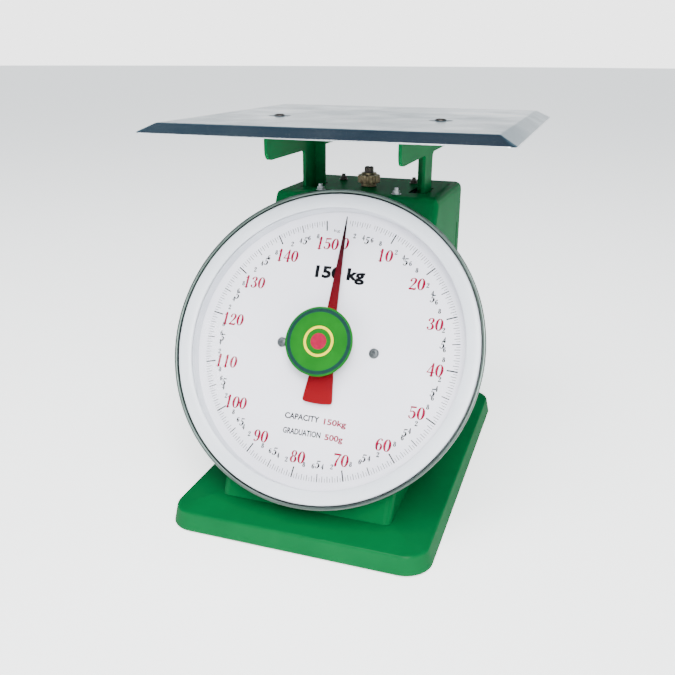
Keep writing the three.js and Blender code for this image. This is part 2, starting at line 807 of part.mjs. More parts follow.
function placedStay(group, name, z) {
  const holder = new THREE.Group();
  holder.position.set(0, stayFixedY, z);
  holder.rotation.x = -stayAngle;
  addPart(holder, name, stay(), zincSteel);
  group.add(holder);
}

function stayPin(y, z) {
  const half = stayWidth / 2 + earThickness + 2;
  return rod("x", stayPinRadius, -half, half, y, z, 16);
}

// A channel that stands on the deck at the back and holds the stays' fixed pins.
function mast() {
  const inner = stayWidth / 2 + runningGap;
  const outer = inner + earThickness;
  const wide = mastHalfWidth;
  const back = housingBackY - mastBackGap;
  const web = back - mastThickness;
  const front = stayFixedY - stayEyeRadius - 2.8;
  const section = roundedPolygon([
    [-wide, web], [-wide, back], [wide, back], [wide, web], [outer, web], [outer, front],
    [inner, front], [inner, web], [-inner, web], [-inner, front], [-outer, front], [-outer, web],
  ]);
  const channel = solid(plate(section, "z", deckTop, hangerPlateTopZ - mastTopGap));
  const pinHoles = [stayLowerZ, stayUpperZ].map((z) =>
    rod("x", stayPinRadius + clearance, -wide, wide, stayFixedY, z, 16),
  );
  return cut(channel, ...pinHoles);
}

// ---- Dial, in its own frame: x to the right, y up the leaning face, z out towards the reader ----
const shaftCollarOut = 1.4;

function dialCase() {
  const back = faceOut + clearance;
  const floor = back + caseFloor;
  const hole = caseHoleRadius;
  const r = caseRadius;
  const rim = caseDepthFront;
  const profile = [
    [hole, back], [r - 9.5, back], [r - 5.2, back + 2.6], [r - 1.7, rim - 5], [r, rim - 3.6], [r, rim - 1.4],
    [r - 1.2, rim], [r - 2.9, rim - 0.4], [r - 3.4, rim - 3], [r - 6.4, floor + 2.6], [r - 10, floor],
    [hole, floor],
  ];
  const holes = [-dialScrewX, dialScrewX].map((x) =>
    rod("z", dialScrewShank + clearance, back - 2, floor + 2, x, 0, 12),
  );
  return cut(solid(turned(profile, 56)), ...holes);
}

function dialPlate() {
  const r = dialPlateRadius;
  const floor = faceOut + clearance + caseFloor + clearance;
  const skin = dialPlateThickness;
  const hole = 6;
  const profile = [
    [hole, 0], [r - 0.6, 0], [r, -0.6], [r, floor], [r - skin, floor], [r - skin, -skin], [hole, -skin],
  ];
  const holes = [-dialScrewX, dialScrewX].map((x) => rod("z", dialScrewShank + clearance, -5, 5, x, 0, 12));
  return cut(solid(turned(profile, 48)), ...holes);
}

function innerRing() {
  const r = bezelInnerRadius;
  const top = glassBackOut - clearance;
  return turned([[r + 1, clearance], [r + 2.4, clearance], [r + 2.4, top], [r + 0.6, top]], 48);
}

function dialGlass() {
  const back = glassBackOut;
  const front = back + glassThickness;
  return turned([[0, back], [glassRadius, back], [glassRadius, front], [0, front]], 48);
}

function bezelRing() {
  const r = bezelRadius;
  const lip = glassBackOut + glassThickness + clearance;
  const inner = bezelInnerRadius;
  const profile = [
    [inner, lip], [inner + 0.3, lip + 1.4], [inner + 3, lip + 2.8], [inner + 7, lip + 3.3],
    [r - 2.2, lip + 3], [r, lip + 1.4], [r, lip - 2.2], [glassRadius + 1, lip - 2.2], [glassRadius + 1, lip],
  ];
  return turned(profile, 56);
}

function dialScrew() {
  const head = clearance;
  const end = movementFrontOut - 5;
  const headRadius = 4.6;
  return turned(
    [[0, end], [dialScrewShank, end], [dialScrewShank, head], [headRadius, head], [headRadius, head + 1.2],
      [headRadius - 1.2, head + 2.2], [0, head + 2.4]],
    16,
  );
}

// The pointer: a long needle up to the ticks and a short flared tail that balances it.
function pointer() {
  const outline = roundedPolygon([
    [-0.35, tickRadius * 1.02], [-5, 28], [-6, 6, 4], [-11.4, -26], [-14.4, -50.5, 4],
    [0, -52, 8], [14.4, -50.5, 4], [11.4, -26], [6, 6, 4], [5, 28], [0.35, tickRadius * 1.02],
  ]);
  outline.holes.push(circleShape(shaftFrontRadius + clearance));
  return plate(outline, "z", pointerOut, pointerOut + pointerThickness);
}

function pointerCap() {
  const seat = pointerOut + pointerThickness + clearance;
  const inside = seat + shaftEndRise;
  const front = inside + pointerCapSkin;
  const r = pointerCapRadius;
  const bore = shaftFrontRadius + clearance;
  return turned(
    [[0, front], [r - 0.5, front], [r, front - 0.5], [r, seat], [bore, seat], [bore, inside], [0, inside]],
    24,
  );
}

function dialBadge() {
  const back = glassBackOut + glassThickness + clearance;
  const front = back + badgeThickness;
  const r = badgeRadius;
  return turned([[0, back], [r, back], [r, front - 0.4], [r - 0.4, front], [0, front]], 36);
}

function pointerShaft() {
  const end = pointerOut + pointerThickness + shaftEndRise;
  const f = shaftFrontRadius;
  const b = shaftRearRadius;
  const step = pinionFrontOut + clearance;
  return turned(
    [[0, movementRearOut - 5], [b, movementRearOut - 5], [b, step], [f, step], [f, shaftCollarOut],
      [5.2, shaftCollarOut], [5.2, pointerOut - clearance], [f, pointerOut - clearance], [f, end], [0, end]],
    20,
  );
}

const pinionFrontOut = rackOut + rackThickness / 2 + 1.5;
const pinionBackOut = rackOut - rackThickness / 2 - 1.5;
const toothShare = 0.4; // of the pitch, so that the teeth have play
const toothRise = 0.8; // of the module, above the pitch line
const toothDepth = 1.05; // of the module, below it
const flank = Math.tan(THREE.MathUtils.degToRad(20));

// One tooth points along +X, into a gap of the rack.
function pinion() {
  const outline = new THREE.Shape();
  const tip = pitchRadius + toothRise * toothModule;
  const root = pitchRadius - toothDepth * toothModule;
  const half = (toothShare * toothPitch) / 2;
  const tipHalf = half - toothRise * toothModule * flank;
  const rootHalf = half + 0.35 * toothDepth * toothModule * flank;
  for (let k = 0; k < pinionTeeth; k += 1) {
    const turn = (2 * Math.PI * k) / pinionTeeth;
    const corners = [[root, -rootHalf], [tip, -tipHalf], [tip, tipHalf], [root, rootHalf]];
    corners.forEach(([along, across], i) => {
      const x = along * Math.cos(turn) - across * Math.sin(turn);
      const y = along * Math.sin(turn) + across * Math.cos(turn);
      if (k === 0 && i === 0) outline.moveTo(x, y);
      else outline.lineTo(x, y);
    });
  }
  outline.closePath();
  outline.holes.push(circleShape(shaftRearRadius + clearance));
  return plate(outline, "z", pinionBackOut, pinionFrontOut, 8);
}

// A straight rack to the right of the pinion. A gap between its teeth faces the pinion at rest.
function rack() {
  const tip = pitchRadius - toothRise * toothModule;
  const root = pitchRadius + toothDepth * toothModule;
  const half = (toothShare * toothPitch) / 2;
  const tipHalf = half - toothRise * toothModule * flank;
  const rootHalf = half + toothDepth * toothModule * flank;
  const points = [[rackBackX, rackBottom], [rackBackX, rackTop], [root, rackTop]];
  const last = Math.floor(rackTop / toothPitch - 1);
  for (let k = last; k >= -4; k -= 1) {
    const y = (k + 0.5) * toothPitch;
    points.push([root, y + rootHalf], [tip, y + tipHalf], [tip, y - tipHalf], [root, y - rootHalf]);
  }
  points.push([root, rackBottom]);
  const outline = roundedPolygon(points);
  return plate(outline, "z", rackOut - rackThickness / 2, rackOut + rackThickness / 2);
}

// The guide is a channel that keeps the rack in mesh.
function rackGuide() {
  const half = rackThickness / 2 + runningGap;
  const lip = half + 2;
  const mouth = 8.6;
  const back = rackBackX + runningGap;
  const outside = back + 3;
  const outline = roundedPolygon([
    [mouth, rackOut - lip], [outside, rackOut - lip], [outside, rackOut + lip], [mouth, rackOut + lip],
    [mouth, rackOut + half], [back, rackOut + half], [back, rackOut - half], [mouth, rackOut - half],
  ]);
  const channel = plate(outline, "y", -14, 14);
  const plateFront = movementRearOut + movementPlateThickness + clearance;
  return union(channel, box(back, outside, -8, 8, plateFront, rackOut - half));
}

function movementPlate(from, to, boreRadius) {
  const outline = roundedRect(-movementHalfX, movementHalfX, -movementHalfY, movementHalfY, 8);
  outline.holes.push(circleShape(boreRadius));
  return plate(outline, "z", from, to);
}

function movementFrontPlate() {
  const back = movementFrontOut - movementPlateThickness;
  const made = movementPlate(back, movementFrontOut, bushRadius + clearance);
  const holes = [-dialScrewX, dialScrewX].map((x) =>
    rod("z", dialScrewShank + clearance, movementFrontOut - 5, movementFrontOut + 5, x, 0, 12),
  );
  return cut(solid(made), ...holes);
}

function movementRearPlate() {
  const front = movementRearOut + movementPlateThickness;
  const made = movementPlate(movementRearOut, front, bushRadius + clearance);
  const pillarEnd = movementFrontOut - movementPlateThickness - clearance;
  const pillars = [];
  for (const x of [-pillarX, pillarX]) {
    for (const y of [-pillarY, pillarY]) {
      pillars.push(rod("z", pillarRadius, movementRearOut + 1, pillarEnd, x, y, 16));
    }
  }
  return union(made, ...pillars);
}

// A flanged bush in a movement plate; `inwards` is the way its flange faces.
function bush(plateBack, shaftRadius, inwards) {
  const bore = shaftRadius + clearance;
  const plateFront = plateBack + movementPlateThickness;
  const stand = 0.4; // the bush stands this far out of the plate at its plain end
  const end = inwards > 0 ? plateBack - stand : plateFront + stand;
  const flangeStart = inwards > 0 ? plateFront + clearance : plateBack - clearance;
  const flangeEnd = flangeStart + inwards * 1.6;
  const flangeRadius = bushRadius + 1.8;
  return turned(
    [[bore, end], [bushRadius, end], [bushRadius, flangeStart], [flangeRadius, flangeStart],
      [flangeRadius, flangeEnd], [bore, flangeEnd]],
    20,
  );
}

function dialPart(name, made, material) {
  addPart(dialFrame, name, made, material);
}

// ---- Rack link: the load frame's pin drives the rack through a level slot ----
const linkFrontX = rackBackX + clearance;

// The slot lets the load frame's pin go straight down while the rack slides down the lean.
function rackLink() {
  const hole = rackPinRadius + runningGap;
  const low = rackPinZ - linkHalfHeight;
  const high = rackPinZ + linkHalfHeight;
  const tongueTop = rackPinZ + 24;
  const front = rackPinY - linkEndLap;
  const outline = roundedPolygon([
    [front, low, 3], [rackPinY + linkEnd, low, 3], [rackPinY + linkEnd, high, 3], [rackPinY + 13, high + 2.5],
    [rackPinY + 15, tongueTop, 2], [rackPinY + 3, tongueTop, 2], [front, high - 1.5],
  ]);
  const slot = new THREE.Path();
  slot.absarc(rackPinY + slotSlide, rackPinZ, hole, -Math.PI / 2, Math.PI / 2);
  slot.absarc(rackPinY, rackPinZ, hole, Math.PI / 2, 1.5 * Math.PI);
  outline.holes.push(slot);
  return plate(outline, "x", linkFrontX, linkFrontX + linkThickness, 5);
}

// The arm stands on the crossbar and reaches forward to the pin.
function rackArm() {
  const front = springY - crossbarDepth / 2;
  const foot = crossbarTopZ + clearance;
  const top = crossbarTopZ + 10;
  const eye = 5.5;
  const tip = rackPinY - eye - 0.5;
  const outline = roundedPolygon([
    [front + 18, foot], [front + 18, top, 3], [front - 10, top], [tip, rackPinZ + eye, 4],
    [tip, rackPinZ - eye, 4], [front - 12, crossbarZ + 1], [front - 1, foot],
  ]);
  const made = plate(outline, "x", rackArmX, rackArmX + rackArmThickness);
  return cut(solid(made), rod("x", rackPinRadius + clearance, 0, 20, rackPinY, rackPinZ, 16));
}

function rackPin() {
  return union(
    rod("x", rackPinRadius, rackArmX - 1.6, linkFrontX + linkThickness + 2, rackPinY, rackPinZ, 16),
    rod("x", rackPinRadius + 1.6, rackArmX - 2.6, rackArmX - clearance, rackPinY, rackPinZ, 16),
  );
}

// ---- Assembly ----
const dialFrame = new THREE.Group();
dialFrame.position.set(0, dialCentreY, dialCentreZ);
dialFrame.rotation.x = Math.PI / 2 - lean;
dialFrame.updateMatrixWorld(true);

const scale = new THREE.Group();
scale.add(dialFrame);

function placed(name, made, material, x, y, z = 0) {
  addPart(scale, name, made, material).position.set(x, y, z);
}

addPart(scale, "base_pan", basePan(), greenPaint);
for (const [end, y] of [["front", baseFrontY + footInset], ["rear", baseBackY - footInset]]) {
  for (const [hand, side] of [["left", -1], ["right", 1]]) {
    placed(`foot_${end}_${hand}`, rubberFoot(), blackRubber, side * (baseWidth / 2 - footInset), y);
  }
}
addPart(scale, "housing", housingShell(), greenPaint);
addPart(scale, "back_cover", backCover(), greenPaint);
addPart(scale, "hanger_plate", hangerPlate(), zincSteel);
addPart(scale, "rear_mast", mast(), zincSteel);
placed("damper_cylinder", damperCylinder(), zincSteel, 0, springY);
for (const [end, y] of [["front", topScrewYs[0]], ["rear", topScrewYs[1]]]) {
  for (const [hand, side] of [["left", -1], ["right", 1]]) {
    placed(`top_screw_${end}_${hand}`, topScrew(), zincSteel, side * topScrewX, y);
  }
}

addPart(scale, "spring_yoke", yoke(), zincSteel);
placed("zero_stud", zeroStud(), nickel, 0, springY);
placed("zero_nut", zeroNut(), nickel, 0, springY);

for (const [hand, side] of [["left", -1], ["right", 1]]) {
  placed(`spring_plug_top_${hand}`, springPlugTop(), zincSteel, side * springX, springY);
  placed(`main_spring_${hand}`, mainSpring(), springSteel, side * springX, springY);
  placed(`spring_plug_bottom_${hand}`, springPlugBottom(), zincSteel, side * springX, springY);
  addPart(scale, `bracket_${hand}`, bracket(side), greenPaint);
  addPart(scale, `cradle_bolt_${hand}`, cradleBolt(side), zincSteel);
  placed(`platform_screw_${hand}`, platformScrew(), zincSteel, side * platformScrewX, platformScrewY);
}
addPart(scale, "platform_pan", platformPan(), stainless);
addPart(scale, "crossbar", crossbar(), zincSteel);
addPart(scale, "upper_strap", strap(), zincSteel);
placed("damper_rod", damperRod(), zincSteel, 0, springY);
addPart(scale, "rack_arm", rackArm(), zincSteel);
addPart(scale, "rack_pin", rackPin(), zincSteel);

for (const [level, z] of [["lower", stayLowerZ], ["upper", stayUpperZ]]) {
  placedStay(scale, `stay_${level}`, z);
  addPart(scale, `stay_pin_fixed_${level}`, stayPin(stayFixedY, z), zincSteel);
  addPart(scale, `stay_pin_moving_${level}`, stayPin(stayMovingY, z + movingPivotRise), zincSteel);
}

dialPart("dial_case", dialCase(), zincSteel);
dialPart("dial_plate", dialPlate(), whiteEnamel);
dialPart("inner_ring", innerRing(), whitePlastic);
dialPart("dial_glass", dialGlass(), clearGlass);
dialPart("bezel_ring", bezelRing(), whitePlastic);
for (const [hand, side] of [["left", -1], ["right", 1]]) {
  const screw = addPart(dialFrame, `dial_screw_${hand}`, dialScrew(), zincSteel);
  screw.position.x = side * dialScrewX;
}
dialPart("pointer", pointer(), redEnamel);
dialPart("pointer_cap", pointerCap(), brass);
const badge = addPart(dialFrame, "dial_badge", dialBadge(), greenEnamel);
badge.position.set(badgeX, badgeY, 0);
dialPart("pointer_shaft", pointerShaft(), springSteel);
dialPart("pinion", pinion(), brass);
dialPart("rack", rack(), brass);
dialPart("rack_guide", rackGuide(), brass);
dialPart("movement_front_plate", movementFrontPlate(), brass);
dialPart("movement_rear_plate", movementRearPlate(), brass);
dialPart("bush_front", bush(movementFrontOut - 2.2, shaftFrontRadius, -1), brass);
dialPart("bush_rear", bush(movementRearOut, shaftRearRadius, 1), brass);
addPart(scale, "rack_link", rackLink(), brass);

export default scale;
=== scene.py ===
"""A green 150 kg dial platform scale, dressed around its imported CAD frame.

Sizes in the classes are millimetres, and each mesh is put in the frame's metres as it is made.
The dial's own frame has x to the reader's right, y up the leaning face and z out of it.
"""

import json
import logging
import math
from collections.abc import Callable, Sequence
from dataclasses import dataclass, field
from enum import Enum

import bmesh
import bpy
from mathutils import Matrix, Vector


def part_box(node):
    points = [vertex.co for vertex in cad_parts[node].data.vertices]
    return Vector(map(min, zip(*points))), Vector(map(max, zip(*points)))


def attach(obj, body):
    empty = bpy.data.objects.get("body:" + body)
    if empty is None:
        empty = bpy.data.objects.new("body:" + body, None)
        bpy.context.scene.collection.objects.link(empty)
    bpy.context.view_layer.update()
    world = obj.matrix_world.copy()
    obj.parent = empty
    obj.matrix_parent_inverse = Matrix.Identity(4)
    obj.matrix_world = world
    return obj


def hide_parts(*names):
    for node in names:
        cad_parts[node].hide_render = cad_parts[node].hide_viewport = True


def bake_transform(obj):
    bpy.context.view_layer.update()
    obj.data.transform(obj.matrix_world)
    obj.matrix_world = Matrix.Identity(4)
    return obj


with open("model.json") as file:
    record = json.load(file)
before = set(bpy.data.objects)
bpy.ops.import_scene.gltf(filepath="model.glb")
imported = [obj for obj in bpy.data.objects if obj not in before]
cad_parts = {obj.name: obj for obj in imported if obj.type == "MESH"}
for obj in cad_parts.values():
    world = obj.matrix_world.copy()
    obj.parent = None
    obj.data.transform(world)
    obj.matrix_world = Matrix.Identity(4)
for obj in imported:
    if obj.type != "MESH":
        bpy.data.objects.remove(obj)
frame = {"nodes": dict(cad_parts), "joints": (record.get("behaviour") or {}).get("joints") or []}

log = logging.getLogger("dial_scale")

MM = 0.001
TAU = 2 * math.pi
SMOOTH_ANGLE = math.radians(32)
PROUD = 0.02  # printed ink lies this far off the face, in millimetres

Point = tuple[float, float]
Corner = tuple[float, ...]
Tree = bpy.types.NodeTree
Node = bpy.types.Node
Socket = bpy.types.NodeSocket
Piece = bpy.types.Object


class Hand(Enum):
    """The left or right side of the scale, as its reader sees it."""

    LEFT = "left"
    RIGHT = "right"


class End(Enum):
    """The dial's end of the scale, or the back cover's."""

    FRONT = "front"
    REAR = "rear"


# ---- Nodes and colours ----
def linear(hex_colour: str) -> tuple[float, float, float, float]:
    """Turns an sRGB hex colour into linear values.

    Args:
        hex_colour: six digits after a hash, such as "#10864A".

    Returns:
        Red, green, blue and an alpha of one.
    """
    channels = [int(hex_colour[i:i + 2], 16) / 255 for i in (1, 3, 5)]
    flat = [c / 12.92 if c <= 0.04045 else ((c + 0.055) / 1.055) ** 2.4 for c in channels]
    return (flat[0], flat[1], flat[2], 1.0)


def add_node(tree: Tree, kind: str, inputs: dict | None = None, **settings) -> Node:
    """Adds a node, sets its properties, and sets or links its inputs.

    Args:
        tree: the tree that the node joins.
        kind: the node's type.
        inputs: values or output sockets by input name or number.
        settings: the node's own properties.

    Returns:
        The new node.
    """
    node = tree.nodes.new(kind)
    for name, value in settings.items():
        setattr(node, name, value)
    for key, value in (inputs or {}).items():
        socket = node.inputs[key]
        if isinstance(value, Socket):
            tree.links.new(value, socket)
        else:
            socket.default_value = value
    return node


def ramp(tree: Tree, factor: Socket, stops: Sequence[tuple[float, str]]) -> Socket:
    """Colours a factor through a ramp of sRGB stops.

    Args:
        tree: the tree that the ramp joins.
        factor: the socket that drives it.
        stops: each stop's position and sRGB colour.

    Returns:
        The colour socket.
    """
    node = add_node(tree, "ShaderNodeValToRGB", {"Fac": factor})
    elements = node.color_ramp.elements
    while len(elements) < len(stops):
        elements.new(0.5)
    for element, (position, colour) in zip(elements, stops):
        element.position = position
        element.color = linear(colour)
    return node.outputs["Color"]


def per_metre(size_mm: float) -> float:
    """Texture scale at which one noise cell is about this many millimetres."""
    return 1 / (size_mm * MM)


# ---- Finishes ----
@dataclass(frozen=True)
class Finish:
    """What a surface is made of and how it was made.

    Each subclass adds its own pattern; the shared part is the shader with its fixed values.
    """

    name: str
    slot: str
    colour: str
    shade: str  # the colour in the clouded patches
    roughness: float
    metallic: float = 0.0
    spread: float = 0.06  # how much rougher the clouded patches are
    cell_mm: float = 12.0  # about how wide a patch is
    gloss: float = 0.5

    def material(self) -> bpy.types.Material:
        """Makes this finish's material, or finds it if it is there already.

        Returns:
            The material, with its pattern in object coordinates.
        """
        found = bpy.data.materials.get(self.name)
        if found:
            return found
        made = bpy.data.materials.new(self.name)
        made.use_nodes = True
        tree = made.node_tree
        tree.nodes.clear()
        shader = add_node(tree, "ShaderNodeBsdfPrincipled",
                          {"Metallic": self.metallic, "Specular IOR Level": self.gloss})
        add_node(tree, "ShaderNodeOutputMaterial", {"Surface": shader.outputs["BSDF"]})
        coords = add_node(tree, "ShaderNodeTexCoord")
        self.dress(tree, shader, coords.outputs["Object"])
        made.diffuse_color = linear(self.colour)
        return made

    def dress(self, tree: Tree, shader: Node, place: Socket) -> None:
        """Adds the colour and roughness variation that every finish has.

        Args:
            tree: the material's tree.
            shader: the Principled shader.
            place: object coordinates, in metres.
        """
        cloud = add_node(tree, "ShaderNodeTexNoise",
                         {"Vector": place, "Scale": per_metre(self.cell_mm), "Detail": 5.0})
        colour = ramp(tree, cloud.outputs["Fac"], [(0.32, self.shade), (0.68, self.colour)])
        tree.links.new(colour, shader.inputs["Base Color"])
        rough = add_node(tree, "ShaderNodeMapRange",
                         {"Value": cloud.outputs["Fac"], "From Min": 0.3, "From Max": 0.7,
                          "To Min": self.roughness + self.spread, "To Max": self.roughness})
        tree.links.new(rough.outputs["Result"], shader.inputs["Roughness"])

    @staticmethod
    def relief(tree: Tree, shader: Node, height: Socket,
               depth_mm: float, strength: float) -> None:
        """Turns a height pattern into a bump of a real depth on the shader.

        Args:
            tree: the material's tree.
            shader: the Principled shader.
            height: the pattern.
            depth_mm: how deep it is.
            strength: how much of it shows.
        """
        bump = add_node(tree, "ShaderNodeBump",
                        {"Height": height, "Distance": depth_mm * MM, "Strength": strength})
        tree.links.new(bump.outputs["Normal"], shader.inputs["Normal"])


@dataclass(frozen=True)
class BakedEnamel(Finish):
    """Stoved gloss enamel on pressed steel: a thin glossy skin with a faint orange peel and dust specks."""

    peel_mm: float = 2.2  # the real peel is nearer 1 mm, too fine to show
    speck_mm: float = 7.0
    peel_depth_mm: float = 0.03
    gloss: float = 0.0
    coat: float = 0.09
    coat_roughness: float = 0.22

    def dress(self, tree: Tree, shader: Node, place: Socket) -> None:
        """Adds orange peel, dust specks and the enamel's thin glossy skin to the shared variation.

        Args:
            tree: the material's tree.
            shader: the Principled shader.
            place: object coordinates, in metres.
        """
        super().dress(tree, shader, place)
        shader.inputs["Coat Weight"].default_value = self.coat
        shader.inputs["Coat Roughness"].default_value = self.coat_roughness
        peel = add_node(tree, "ShaderNodeTexNoise",
                        {"Vector": place, "Scale": per_metre(self.peel_mm), "Detail": 2.0})
        specks = add_node(tree, "ShaderNodeTexVoronoi", {"Vector": place, "Scale": per_metre(self.speck_mm)})
        nib = add_node(tree, "ShaderNodeMapRange",
                       {"Value": specks.outputs["Distance"], "From Min": 0.0, "From Max": 0.07,
                        "To Min": 0.5, "To Max": 0.0})
        height = add_node(tree, "ShaderNodeMath", {0: peel.outputs["Fac"], 1: nib.outputs["Result"]},
                          operation="ADD")
        self.relief(tree, shader, height.outputs["Value"], self.peel_depth_mm, 0.5)


@dataclass(frozen=True)
class RolledSheet(Finish):
    """Cold-rolled stainless sheet: a soft mirror with lines along the rolling and handling scratches."""

    line_mm: float = 0.5  # real rolling lines are nearer 0.05 mm, too fine to show
    line_depth_mm: float = 0.004
    scratch_mm: float = 3.0

    def dress(self, tree: Tree, shader: Node, place: Socket) -> None:
        """Adds rolling lines along x and crossing scratches to the shared variation.

        Args:
            tree: the material's tree.
            shader: the Principled shader.
            place: object coordinates, in metres.
        """
        super().dress(tree, shader, place)
        along = add_node(tree, "ShaderNodeMapping", {"Vector": place, "Scale": (0.02, 1.0, 1.0)})
        lines = add_node(tree, "ShaderNodeTexNoise",
                         {"Vector": along.outputs["Vector"], "Scale": per_metre(self.line_mm), "Detail": 3.0})
        turned = add_node(tree, "ShaderNodeMapping",
                          {"Vector": place, "Rotation": (0.0, 0.0, 0.7), "Scale": (1.0, 0.03, 1.0)})
        scratches = add_node(tree, "ShaderNodeTexNoise",
                             {"Vector": turned.outputs["Vector"], "Scale": per_metre(self.scratch_mm),
                              "Detail": 1.0})
        sharp = add_node(tree, "ShaderNodeMapRange",
                         {"Value": scratches.outputs["Fac"], "From Min": 0.66, "From Max": 0.72,
                          "To Min": 0.0, "To Max": -0.6})
        height = add_node(tree, "ShaderNodeMath", {0: lines.outputs["Fac"], 1: sharp.outputs["Result"]},
                          operation="ADD")
        self.relief(tree, shader, height.outputs["Value"], self.line_depth_mm, 0.35)


@dataclass(frozen=True)
class PlatedSteel(Finish):
    """Turned or rolled metal with a plated or bare skin: small lathe marks and a slightly clouded shine."""

    mark_mm: float = 0.8  # real tool marks are nearer 0.1 mm, too fine to show
    mark_depth_mm: float = 0.02

    def dress(self, tree: Tree, shader: Node, place: Socket) -> None:
        """Adds fine tool marks to the shared variation.

        Args:
            tree: the material's tree.
            shader: the Principled shader.
            place: object coordinates, in metres.
        """
        super().dress(tree, shader, place)
        marks = add_node(tree, "ShaderNodeTexNoise",
                         {"Vector": place, "Scale": per_metre(self.mark_mm), "Detail": 4.0, "Roughness": 0.6})
        self.relief(tree, shader, marks.outputs["Fac"], self.mark_depth_mm, 0.4)


@dataclass(frozen=True)
class MouldedPlastic(Finish):
    """Injection-moulded ABS: an even semi-gloss with a fine mould texture and slight flow shading."""

    texture_mm: float = 1.1  # a real mould's grain is nearer 0.2 mm, too fine to show
    texture_depth_mm: float = 0.012
    ior: float = 1.53

    def dress(self, tree: Tree, shader: Node, place: Socket) -> None:
        """Adds the mould's fine texture to the shared variation.

        Args:
            tree: the material's tree.
            shader: the Principled shader.
            place: object coordinates, in metres.
        """
        super().dress(tree, shader, place)
        shader.inputs["IOR"].default_value = self.ior
        grain = add_node(tree, "ShaderNodeTexNoise",
                         {"Vector": place, "Scale": per_metre(self.texture_mm), "Detail": 3.0})
        self.relief(tree, shader, grain.outputs["Fac"], self.texture_depth_mm, 0.35)


@dataclass(frozen=True)
class PrintedSheet(Finish):
    """Screen-printed ink or a painted dial sheet: matt, with the small mottling of a printed film."""

    gloss: float = 0.06
    mottle_mm: float = 0.9  # a real film's mottling is nearer 0.2 mm, too fine to show
    mottle_depth_mm: float = 0.006

    def dress(self, tree: Tree, shader: Node, place: Socket) -> None:
        """Adds the film's fine mottling to the shared variation.

        Args:
            tree: the material's tree.
            shader: the Principled shader.
            place: object coordinates, in metres.
        """
        super().dress(tree, shader, place)
        mottle = add_node(tree, "ShaderNodeTexNoise",
                          {"Vector": place, "Scale": per_metre(self.mottle_mm), "Detail": 2.0})
        self.relief(tree, shader, mottle.outputs["Fac"], self.mottle_depth_mm, 0.3)


@dataclass(frozen=True)
class NeedleEnamel(Finish):
    """Sprayed enamel on a thin stamping: red at the hub, darkened towards the tip by painted shade.

    The mesh's "reach" attribute runs from 0 at the tail to 1 at the tip.
    """

    # painted shade: the dark red and the near black that the needle fades into towards its tip stand in for
    # its shadow and dark edges
    blend: str = "#38040E"
    tip: str = "#140C0E"
    gloss: float = 0.06
    speck_mm: float = 3.0

    def dress(self, tree: Tree, shader: Node, place: Socket) -> None:
        """Colours the stamping along its length, from red into painted shade towards the tip, and keeps the
        shared roughness.

        Args:
            tree: the material's tree.
            shader: the Principled shader.
            place: object coordinates, in metres.
        """
        super().dress(tree, shader, place)
        reach = add_node(tree, "ShaderNodeAttribute", attribute_name="reach")
        speck = add_node(tree, "ShaderNodeTexNoise",
                         {"Vector": place, "Scale": per_metre(self.speck_mm), "Detail": 3.0})
        wander = add_node(tree, "ShaderNodeMath", {0: speck.outputs["Fac"], 1: 0.06}, operation="MULTIPLY")
        along = add_node(tree, "ShaderNodeMath",
                         {0: reach.outputs["Fac"], 1: wander.outputs["Value"]}, operation="ADD")
        colour = ramp(tree, along.outputs["Value"],
                      [(0.0, self.colour), (0.52, self.shade), (0.80, self.blend), (0.97, self.tip)])
        tree.links.new(colour, shader.inputs["Base Color"])


@dataclass(frozen=True)
class ClearPane(Finish):
    """Flat float glass: clear straight on, mirror-like only at a slant, with a trace of dust in its shine.

    The shader is the pane's reflection alone, and its alpha is how much of it the glass gives back.
    """

    given_back: float = 0.14
    ior: float = 1.5

    def dress(self, tree: Tree, shader: Node, place: Socket) -> None:
        """Lets light through except for the slanted reflection.

        Args:
            tree: the material's tree.
            shader: the Principled shader.
            place: object coordinates, in metres.
        """
        super().dress(tree, shader, place)
        slant = add_node(tree, "ShaderNodeFresnel", {"IOR": self.ior})
        share = add_node(tree, "ShaderNodeMath", {0: slant.outputs["Fac"], 1: self.given_back},
                         operation="MULTIPLY")
        tree.links.new(share.outputs["Value"], shader.inputs["Alpha"])


@dataclass(frozen=True)
class MouldedRubber(Finish):
    """Compression-moulded black rubber: dull, with a dusty grain."""

    grain_mm: float = 0.7  # real rubber's grain is nearer 0.2 mm, too fine to show
    grain_depth_mm: float = 0.05

    def dress(self, tree: Tree, shader: Node, place: Socket) -> None:
        """Adds the rubber's fine grain to the shared variation.

        Args:
            tree: the material's tree.
            shader: the Principled shader.
            place: object coordinates, in metres.
        """
        super().dress(tree, shader, place)
        grain = add_node(tree, "ShaderNodeTexNoise",
                         {"Vector": place, "Scale": per_metre(self.grain_mm), "Detail": 4.0})
        self.relief(tree, shader, grain.outputs["Fac"], self.grain_depth_mm, 0.6)


# An even deep green, glossy only where it turns to the light.
GREEN_ENAMEL = BakedEnamel("stoved_green_enamel_on_pressed_steel", "green_paint", "#01552B", "#014F28",
                           roughness=0.4, cell_mm=38.0)
# A cool soft mirror that carries the bands of the room.
STAINLESS = RolledSheet("cold_rolled_stainless_sheet", "stainless_sheet", "#BEC3C6", "#B2B8BC",
                        roughness=0.2, metallic=1.0, spread=0.07, cell_mm=55.0)
# Light grey metal with a slightly clouded shine.
ZINC = PlatedSteel("zinc_plated_steel", "zinc_steel", "#B4B8BA", "#9DA1A5",
                   roughness=0.36, metallic=1.0, spread=0.12, cell_mm=5.0)
# Near-dark metal with a dull glint on its edges.
DARK_STUD = PlatedSteel("oiled_black_steel_fastener", "zinc_steel", "#5A5550", "#3E3A38",
                        roughness=0.38, metallic=1.0, spread=0.14, cell_mm=4.0)
# Mid-grey wire with a soft highlight along each turn.
SPRING_STEEL = PlatedSteel("drawn_spring_steel_wire", "spring_steel", "#7C8087", "#5E6268",
                           roughness=0.34, metallic=1.0, spread=0.12, cell_mm=6.0)
